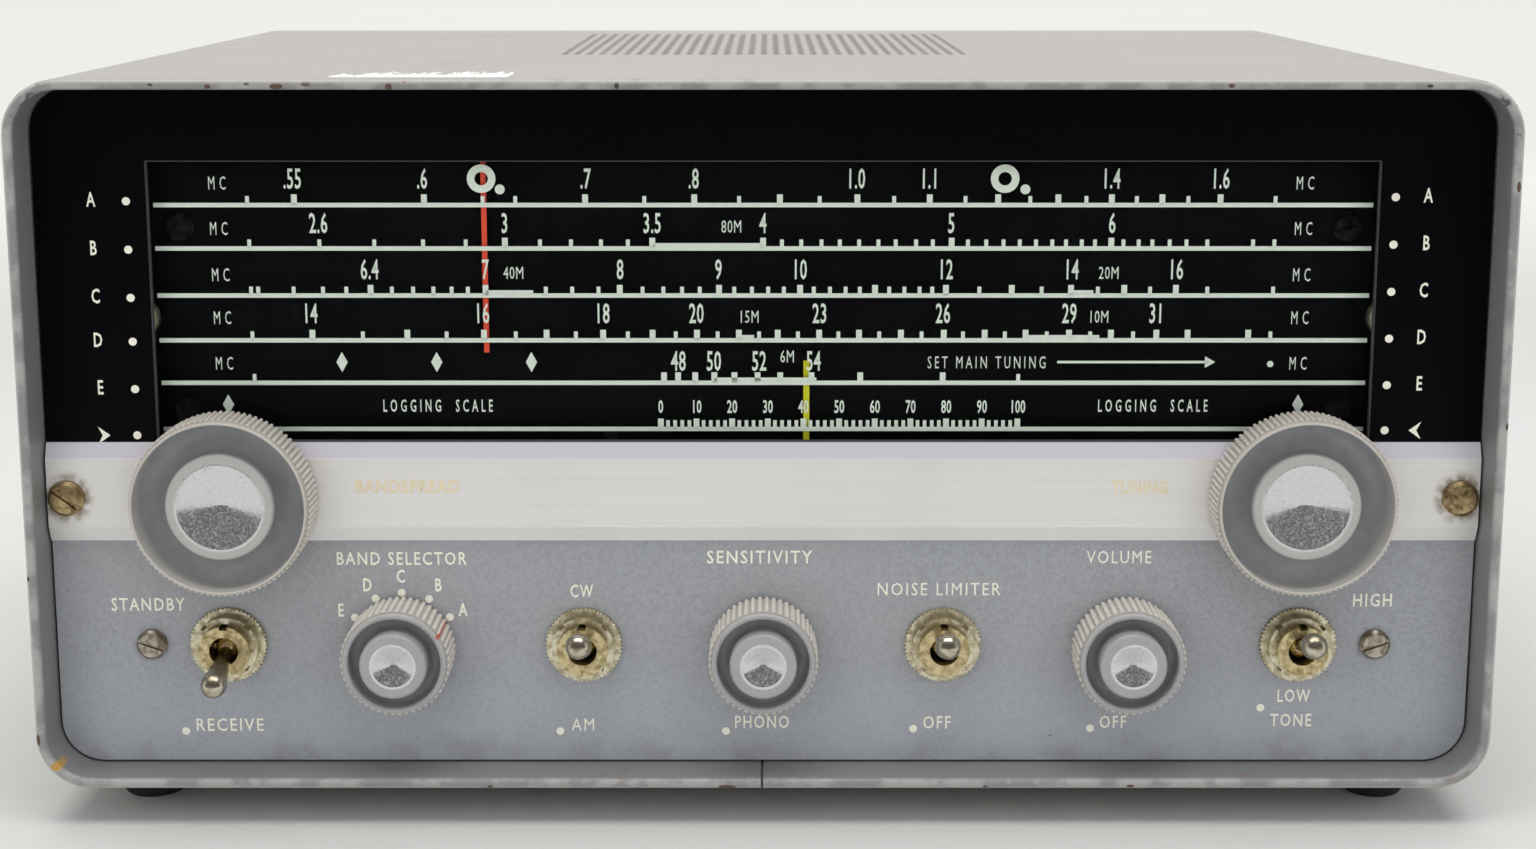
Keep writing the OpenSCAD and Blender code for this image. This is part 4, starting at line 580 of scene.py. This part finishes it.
def word(text, place, size, narrow=1.0, spacing=1.0, bold=0.0, wide=None):
    """Lettering: size is the height of its capitals, and wide its whole width, which takes the place
    of the narrowing where it is given."""
    bpy.ops.object.text_add(location=metres(place), rotation=FACING)
    data = bpy.context.object.data
    data.body = text
    data.align_x = "CENTER"
    data.align_y = "CENTER"
    data.size = size * MM / CAPITAL
    data.space_character = spacing
    # the font's M folds over itself where it is made bolder
    data.offset = 0.0 if "M" in text else bold * MM
    data.resolution_u = 2
    bpy.ops.object.convert(target="MESH")
    obj = bpy.context.object
    obj.scale = (wide * MM / obj.dimensions.x if wide else narrow, 1, 1)
    return obj


def bars(places, y):
    """Rectangles in one mesh: (x, z, width, height) of each."""
    bpy.ops.mesh.primitive_plane_add(size=1, location=(0, 0, 0), rotation=FACING)
    obj = bpy.context.object
    bpy.ops.object.transform_apply(location=True, rotation=True, scale=True)
    bpy.ops.object.mode_set(mode="EDIT")
    bpy.ops.mesh.select_all(action="SELECT")
    bpy.ops.mesh.delete(type="VERT")
    for x, z, wide, high in places:
        middle = metres((x, y, z))
        bpy.ops.mesh.primitive_plane_add(size=1, location=middle, rotation=FACING)
        bpy.ops.transform.resize(value=(wide * MM, 1, high * MM), center_override=middle)
    bpy.ops.object.mode_set(mode="OBJECT")
    return obj


def dot(place, r, sides=20, turn=0.0, narrow=1.0):
    """Disc, or with few sides a diamond or an arrowhead."""
    bpy.ops.mesh.primitive_circle_add(vertices=sides, radius=r * MM, fill_type="NGON",
                                      location=metres(place), rotation=(math.pi / 2, turn, 0))
    obj = bpy.context.object
    obj.scale = (narrow, 1, 1)
    return obj


def ring(place, outer, inner):
    middle = metres(place)
    bpy.ops.mesh.primitive_circle_add(vertices=40, radius=outer * MM, location=middle, rotation=FACING)
    obj = bpy.context.object
    bpy.ops.object.mode_set(mode="EDIT")
    bpy.ops.mesh.select_all(action="SELECT")
    bpy.ops.mesh.extrude_region_move()
    bpy.ops.transform.resize(value=(inner / outer, 1, inner / outer), center_override=middle)
    # the new faces come in no fixed order, so they are put in one
    bpy.ops.mesh.select_all(action="SELECT")
    bpy.ops.mesh.sort_elements(type="CURSOR_DISTANCE", elements={"FACE"})
    bpy.ops.object.mode_set(mode="OBJECT")
    # a flat shape has no outside, so it is turned to the front where it came out facing back
    facing = sum(face.normal.z for face in obj.data.polygons)
    if facing < 0:
        bpy.ops.object.mode_set(mode="EDIT")
        bpy.ops.mesh.select_all(action="SELECT")
        bpy.ops.mesh.flip_normals()
        bpy.ops.object.mode_set(mode="OBJECT")
    return obj


def chevron(place, wide, high, way):
    """Arrowhead with a notched back; way is 1 where it points to +X, -1 where to -X."""
    x, y, z = place
    obj = dot(place, 1.0, 4)
    bpy.ops.object.transform_apply(location=True, rotation=True, scale=True)
    corners = ((wide / 2, 0), (-wide / 2, high / 2), (-wide * 0.12, 0), (-wide / 2, -high / 2))
    for vertex, (dx, dz) in zip(obj.data.vertices, corners if way > 0 else corners[::-1]):
        vertex.co = metres((x + way * dx, y, z + dz))
    return obj


# Marks are placed by the photograph's pixels. Its camera looked level from EYE_X and EYE_Z, so its
# horizon is a row above the picture.
EYE_X = 0.9
EYE_Z = FLOOR + 204.7
MIDDLE_COLUMN = 768
HORIZON_ROW = -92
GLASS_SCALE = 4.25          # pixels to a millimetre at the dial glass
PANEL_SCALE = 4.28          # and at the panel
INK_GAP = 0.03              # between the print and what it is on
DIAL_PRINT_Y = GLASS_Y + INK_GAP
PANEL_PRINT_Y = PANEL_Y - INK_GAP
TRIM_PRINT_Y = TRIM_Y - INK_GAP


def from_photo(column, row, scale, y):
    return (column - MIDDLE_COLUMN) / scale + EYE_X, y, EYE_Z - (row - HORIZON_ROW) / scale


def at_glass(column, row):
    return from_photo(column, row, GLASS_SCALE, DIAL_PRINT_Y)


def at_panel(column, row):
    return from_photo(column, row, PANEL_SCALE, PANEL_PRINT_Y)


def at_trim(column, row):
    return from_photo(column, row, PANEL_SCALE, TRIM_PRINT_Y)


# Lettering of each kind
SCALE_FIGURES = {"size": 4.6, "narrow": 0.52, "spacing": 1.05, "bold": 0.09}
BAND_NAMES = {"size": 2.9, "narrow": 0.62, "spacing": 1.1, "bold": 0.04}
LOG_FIGURES = {"size": 3.0, "narrow": 0.55, "spacing": 1.05, "bold": 0.08}
LOG_WORDS = {"size": 2.9, "spacing": 1.7, "bold": 0.05, "wide": 109 / GLASS_SCALE}
SETTING_WORDS = {"size": 2.9, "spacing": 1.5, "bold": 0.04, "wide": 117 / GLASS_SCALE}
UNIT_LETTERS = {"size": 3.1, "spacing": 1.8, "bold": 0.04, "wide": 17 / GLASS_SCALE}
BAND_LETTERS = {"size": 3.3, "narrow": 0.62, "bold": 0.09}
SELECTOR_LETTERS = {"size": 3.1, "narrow": 0.67, "bold": 0.1}
PANEL_WORDS = {"size": 3.1, "spacing": 1.22, "bold": 0.05}
TRIM_WORDS = {"size": 3.0, "spacing": 1.1, "bold": 0.18}

# Lines and marks of the scales
LINE_W, LINE_H = 281.6, 1.05
BROAD, SLIM = 6, 4          # widths of the marks, in pixels
MARK_HEIGHTS = {BROAD: 2.5, SLIM: 2.1}
MARK_THINNED = 0.95
LOG_BROAD_W, LOG_SLIM_W = 1.35, 0.85
DIAMOND_R, DIAMOND_NARROW = 2.4, 0.55
RING_OUTER_R, RING_INNER_R = 3.3, 1.55
RING_DOT_R = 1.15
ARROW_R, ARROW_LINE_H = 1.6, 0.6
SCALE_DOT_R = 0.75
BAND_BAR_LIFT, BAND_BAR_H = 0.8, 0.9

# Marks of the panel, and the columns of those beside the window
PANEL_DOT_R = 0.95
CHEVRON_W, CHEVRON_H = 2.9, 4.2
LETTER_COLUMNS = (105.5, 1415.5)
DOT_COLUMNS = (140, 1383.5)
CHEVRON_COLUMNS = (107, 1413.5)
CHEVRON_ROWS = (431, 426)

# Scales, by their pixels: row of the line, row of the figures, {figure: column}, {width: columns of marks}
SCALES = {
    "A": (200, 175, {".55": 303, ".6": 430, ".7": 590, ".8": 696, "1.0": 855, "1.1": 927, "1.4": 1105,
                     "1.6": 1212},
          {BROAD: (304, 431.5, 589.5, 696.5, 780.5, 856.5, 927.5, 994.5, 1053.5, 1106, 1155.5, 1212.5),
           SLIM: (258, 489, 521, 647.5, 740.5, 819.5, 892.5, 962.5, 1026, 1081, 1130.5, 1181, 1266.5)}),
    "B": (243, 219, {"2.6": 327, "3": 510, "3.5": 655, "4": 764, "5": 949, "6": 1107},
          {BROAD: (510, 655, 764, 949.5, 1106.5),
           SLIM: (258.5, 327.5, 381.5, 429.5, 471.5, 544.5, 575, 604.5, 631, 782.5, 801.5, 821.5, 839.5,
                  858.5, 877.5, 894.5, 914.5, 931, 965.5, 983.5, 1000.5, 1016.5, 1032.5, 1048.5, 1062,
                  1077.5, 1090.5, 1118.5, 1133.5, 1147, 1164, 1180.5, 1201, 1246, 1267)}),
    "C": (290, 265, {"6.4": 376, "7": 490, "8": 623, "9": 720, "10": 800, "12": 944, "14": 1068,
                     "16": 1171},
          {BROAD: (376.5, 490, 622.5, 720.5, 800.5, 874.5, 944.5, 1009.5, 1068, 1120.5, 1171.5),
           SLIM: (258.5, 265.5, 300.5, 329.5, 352.5, 397.5, 418.5, 438.5, 456.5, 472.5, 549.5, 575.5, 601.5,
                  645, 665.5, 684, 701.5, 735.5, 753, 769, 784.5, 814, 830, 845.5, 859.5, 888.5, 903.5,
                  918.5, 931, 977.5, 1039, 1094.5, 1146, 1202.5, 1267.5)}),
    "D": (335, 309, {"14": 316, "16": 486, "18": 605, "20": 698, "23": 820, "26": 942, "29": 1067,
                     "31": 1153},
          {BROAD: (317.5, 411.5, 487.5, 549.5, 605.5, 654.5, 698.5, 740, 778.5, 819.5, 859, 900.5, 943,
                   983.5, 1024, 1067, 1108.5, 1153.5, 1184.5, 1244.5),
           SLIM: (258, 367.5, 450.5, 519, 578.5, 630, 677.5, 719, 760, 798.5, 838.5, 879, 921, 962, 1003.5,
                  1045, 1088, 1130.5, 1266.5)}),
    "E": (378, 357, {"48": 680, "50": 715, "52": 760, "54": 814},
          {BROAD: (665.5, 679.5, 696.5, 715.5, 735.5, 758.5, 781, 812, 860.5, 942.5),
           SLIM: (258.5, 1017.5)}),
}
# Bands marked on them: name, its column and row, the bar's two ends and row
BANDS = (
    ("80M", 733, 222, 655, 764, 243), ("40M", 518, 268, 490, 537, 290),
    ("20M", 1105, 268, 1068, 1090, 290), ("15M", 750, 312, 740, 755, 335),
    ("10M", 1096, 312, 1023, 1097, 335), ("6M", 788, 352, 715, 817, 378),
)
# Panel's words: left end, right end and row of each
PANEL_TEXTS = (
    ("STANDBY", 105, 179, 607), ("RECEIVE", 185.5, 254, 734.5), ("BAND SELECTOR", 334, 465, 559),
    ("CW", 569, 592, 593), ("AM", 569, 592, 734.5), ("SENSITIVITY", 707, 813, 557.5),
    ("PHONO", 735, 790, 731.5), ("NOISE LIMITER", 879, 1003, 591), ("OFF", 927, 955, 732),
    ("VOLUME", 1090, 1155, 557.5), ("OFF", 1107, 1134, 731.5), ("HIGH", 1360, 1399, 602.5),
    ("LOW", 1287, 1320, 703.5), ("TONE", 1281, 1323, 729.5),
)


def bar_between(left, right, row, lift, high):
    """Bar on the dial from one column to another, lifted off a row."""
    start, _, z = at_glass(left, row)
    end = at_glass(right, row)[X]
    return (start + end) / 2, z + lift, end - start, high


def dial_print():
    parts, marks = [], []
    for line_row, figure_row, figures, columns in SCALES.values():
        z = at_glass(0, line_row)[Z]
        marks.append((0, z, LINE_W, LINE_H))
        for width, places in columns.items():
            tall = MARK_HEIGHTS[width]
            for column in places:
                x = at_glass(column, line_row)[X]
                marks.append((x, z + tall / 2, width / GLASS_SCALE * MARK_THINNED, tall))
        for text, column in figures.items():
            parts.append(word(text, at_glass(column, figure_row), **SCALE_FIGURES))
    for text, column, row, left, right, bar_row in BANDS:
        parts.append(word(text, at_glass(column, row), **BAND_NAMES))
        marks.append(bar_between(left, right, bar_row, BAND_BAR_LIFT, BAND_BAR_H))
    # logging scale from 0 to 100, with a mark at every second number
    start, _, z = at_glass(662, 425)
    length = at_glass(1017.5, 425)[X] - start
    marks.append((0, z, LINE_W, LINE_H))
    for i in range(51):
        broad = i % 5 == 0
        wide = LOG_BROAD_W if broad else LOG_SLIM_W
        tall = MARK_HEIGHTS[BROAD if broad else SLIM]
        marks.append((start + length * i / 50, z + tall / 2, wide, tall))
    figure_z = at_glass(0, 403)[Z]
    for i in range(11):
        parts.append(word(str(i * 10), (start + length * i / 10, DIAL_PRINT_Y, figure_z), **LOG_FIGURES))
    for column in (440, 1152):
        parts.append(word("LOGGING  SCALE", at_glass(column, 402), **LOG_WORDS))
    # words, arrow and dot on the right of the lowest scale
    parts.append(word("SET MAIN TUNING", at_glass(986, 358), **SETTING_WORDS))
    marks.append(bar_between(1056, 1206, 357, 0.0, ARROW_LINE_H))
    parts.append(dot(at_glass(1206, 357), ARROW_R, 3, math.pi / 2))
    parts.append(dot(at_glass(1267.5, 359), SCALE_DOT_R))
    for row in (179, 224, 270, 313, 359):
        for column in (229, 1295):
            parts.append(word("MC", at_glass(column, row), **UNIT_LETTERS))
    for column, row in ((346, 357), (440, 357), (534, 357), (231.5, 400), (1296.5, 400)):
        parts.append(dot(at_glass(column, row), DIAMOND_R, 4, narrow=DIAMOND_NARROW))
    for ring_column, dot_column in ((488, 506), (1001, 1021)):
        parts.append(ring(at_glass(ring_column, 174), RING_OUTER_R, RING_INNER_R))
        parts.append(dot(at_glass(dot_column, 184.5), RING_DOT_R))
    parts.append(bars(marks, DIAL_PRINT_Y))
    joined(parts, "dial_print", INK, "receiver")


def panel_print():
    parts = []
    # scales' letters and dots beside the window, left and right, with a chevron at the logging scale
    for letter, rows in (("A", (195, 191)), ("B", (243, 238)), ("C", (291, 285)), ("D", (335, 332)),
                         ("E", (383, 379))):
        for column, row in zip(LETTER_COLUMNS, rows):
            parts.append(word(letter, at_panel(column, row), **BAND_LETTERS))
        for column, row in zip(DOT_COLUMNS, rows):
            parts.append(dot(at_panel(column, row + 1), PANEL_DOT_R))
    for column, row, way in zip(CHEVRON_COLUMNS, CHEVRON_ROWS, (1, -1)):
        parts.append(chevron(at_panel(column, row), CHEVRON_W, CHEVRON_H, way))
    for column, row in zip(DOT_COLUMNS, CHEVRON_ROWS):
        parts.append(dot(at_panel(column, row), PANEL_DOT_R))
    for letter, column, row in (("E", 337, 613), ("D", 364.5, 586.5), ("C", 398.5, 577.5),
                                ("B", 436, 586.5), ("A", 460.5, 612.5)):
        parts.append(word(letter, at_panel(column, row), **SELECTOR_LETTERS))
    for text, left, right, row in PANEL_TEXTS:
        wide = (right - left) / PANEL_SCALE
        parts.append(word(text, at_panel((left + right) / 2, row), wide=wide, **PANEL_WORDS))
    for column, row in ((175, 740.5), (351, 620), (372.5, 600), (399, 594), (426.5, 600.5), (447, 619.5),
                        (557, 740.5), (726, 740.5), (917, 738), (1097.5, 737.5), (1270.5, 715.5)):
        parts.append(dot(at_panel(column, row), PANEL_DOT_R))
    joined(parts, "panel_print", CREAM, "receiver")


def trim_print():
    parts = [word("BANDSPREAD", at_trim(409, 482), wide=104 / PANEL_SCALE, **TRIM_WORDS),
             word("TUNING", at_trim(1140, 483), wide=56 / PANEL_SCALE, **TRIM_WORDS)]
    joined(parts, "trim_print", GOLD, "receiver")


bpy.context.scene.cursor.location = (0, 0, 0)
dial_print()
panel_print()
trim_print()


# Camera, in millimetres
PHOTO_W = 1536              # width of the photograph, in pixels
FOCAL_PIXELS = 2188         # the camera's focal length, in the same
SENSOR_W = 36
CAMERA = (1.1, RIM_Y - 486.2, FLOOR + 199.9)
CAMERA_DOWN = 9.59          # degrees that it looks down
CAMERA_SHIFT = -0.085

# Light and floor, in metres
# Lamps: name, size, watts, place, point that it faces, colour, whether shiny things mirror it
LAMPS = (
    ("overhead", (1.6, 1.2), 25, (0.0, -0.1, 1.5), (0, 0, 0.1), (1.0, 0.99, 0.97), True),
    ("front_left", (1.0, 1.0), 3.8, (-1.1, -1.3, 0.9), (0, 0, 0.08), (1.0, 0.98, 0.95), False),
    ("front_right", (1.0, 1.0), 3.6, (1.1, -1.3, 0.9), (0, 0, 0.08), (0.97, 0.99, 1.0), False),
    ("backdrop_wash", (2.0, 0.4), 6.0, (0.0, 1.0, 1.3), (0.0, 2.3, 0.4), (1, 1, 1), True),
)


def linked(name, data):
    obj = bpy.data.objects.new(name, data)
    bpy.context.scene.collection.objects.link(obj)
    return obj


def add_camera():
    camera = linked("camera", bpy.data.cameras.new("camera"))
    camera.location = metres(CAMERA)
    camera.rotation_euler = (math.radians(90 - CAMERA_DOWN), 0, 0)
    camera.data.lens = FOCAL_PIXELS / PHOTO_W * SENSOR_W
    camera.data.sensor_width = SENSOR_W
    camera.data.shift_y = CAMERA_SHIFT
    camera.data.clip_start = 0.01
    camera.data.clip_end = 20
    bpy.context.scene.camera = camera


def add_light():
    world = bpy.data.worlds.new("studio")
    world.use_nodes = True
    back = world.node_tree.nodes["Background"]
    back.inputs["Color"].default_value = (0.97, 0.98, 1.0, 1.0)
    back.inputs["Strength"].default_value = 0.38
    bpy.context.scene.world = world
    for name, size, watts, place, aim, color, mirrored in LAMPS:
        light = bpy.data.lights.new(name, "AREA")
        light.shape = "RECTANGLE"
        light.size, light.size_y = size
        light.energy = watts
        light.color = color
        lamp = linked(name, light)
        lamp.location = place
        lamp.rotation_euler = (Vector(aim) - Vector(place)).to_track_quat("-Z", "Y").to_euler()
        lamp.visible_glossy = mirrored


def add_card():
    """Dark card before the front, which only shiny things see: the knobs' caps mirror it in their
    lower halves."""
    bpy.ops.mesh.primitive_plane_add(size=1, location=(0, -0.45, 0.375), rotation=FACING)
    card = bpy.context.object
    card.name = "dark_card"
    card.scale = (1.7, 0.75, 1)
    bpy.ops.object.transform_apply(location=True, rotation=True, scale=True)
    card.visible_camera = card.visible_diffuse = card.visible_shadow = card.visible_transmission = False
    card.data.materials.append(Shade("card_grey", (0.17, 0.155, 0.165), 0.9, specular=0.0).mat)


def add_backdrop():
    """Round pale floor that bends up to a wall, with painted shade that makes it darker round the object
    than further out.
    """
    height = 1.4
    bpy.ops.mesh.primitive_cylinder_add(vertices=96, radius=2.6, depth=height, location=(0, 0, height / 2),
                                        end_fill_type="NGON")
    bowl = bpy.context.object
    bowl.name = "backdrop"
    bpy.ops.object.transform_apply(location=True, rotation=True, scale=True)
    # the lid comes off, and the rest is turned to face inwards
    bpy.ops.object.mode_set(mode="EDIT")
    bpy.ops.mesh.select_all(action="DESELECT")
    bpy.ops.object.mode_set(mode="OBJECT")
    for face in bowl.data.polygons:
        face.select = face.normal.z > 0.9
    bpy.ops.object.mode_set(mode="EDIT")
    bpy.ops.mesh.delete(type="FACE")
    bpy.ops.mesh.select_all(action="SELECT")
    bpy.ops.mesh.flip_normals()
    bpy.ops.object.mode_set(mode="OBJECT")
    bevel = bowl.modifiers.new("bend", "BEVEL")
    bevel.width = 1.0
    bevel.segments = 16
    bevel.limit_method = "ANGLE"
    bpy.ops.object.modifier_apply(modifier="bend")
    bpy.ops.object.shade_smooth()
    s = Shade("backdrop_paper", (0.9, 0.9, 0.89), 0.9, specular=0.1)
    # painted shade: the floor is darker round the object than further out
    near = s.blend(s.ramp(s.noise(350, 3.0), 0.3, 0.7), (0.625, 0.635, 0.62), (0.655, 0.66, 0.65))
    far = s.ramp(s.length(s.axes[X], s.axes[Y]), 0.6, 1.5)
    s.put("Base Color", s.blend(far, near, (0.95, 0.945, 0.925)))
    bowl.data.materials.append(s.mat)


add_camera()
add_light()
add_card()
add_backdrop()
bpy.context.scene.view_settings.view_transform = "Standard"
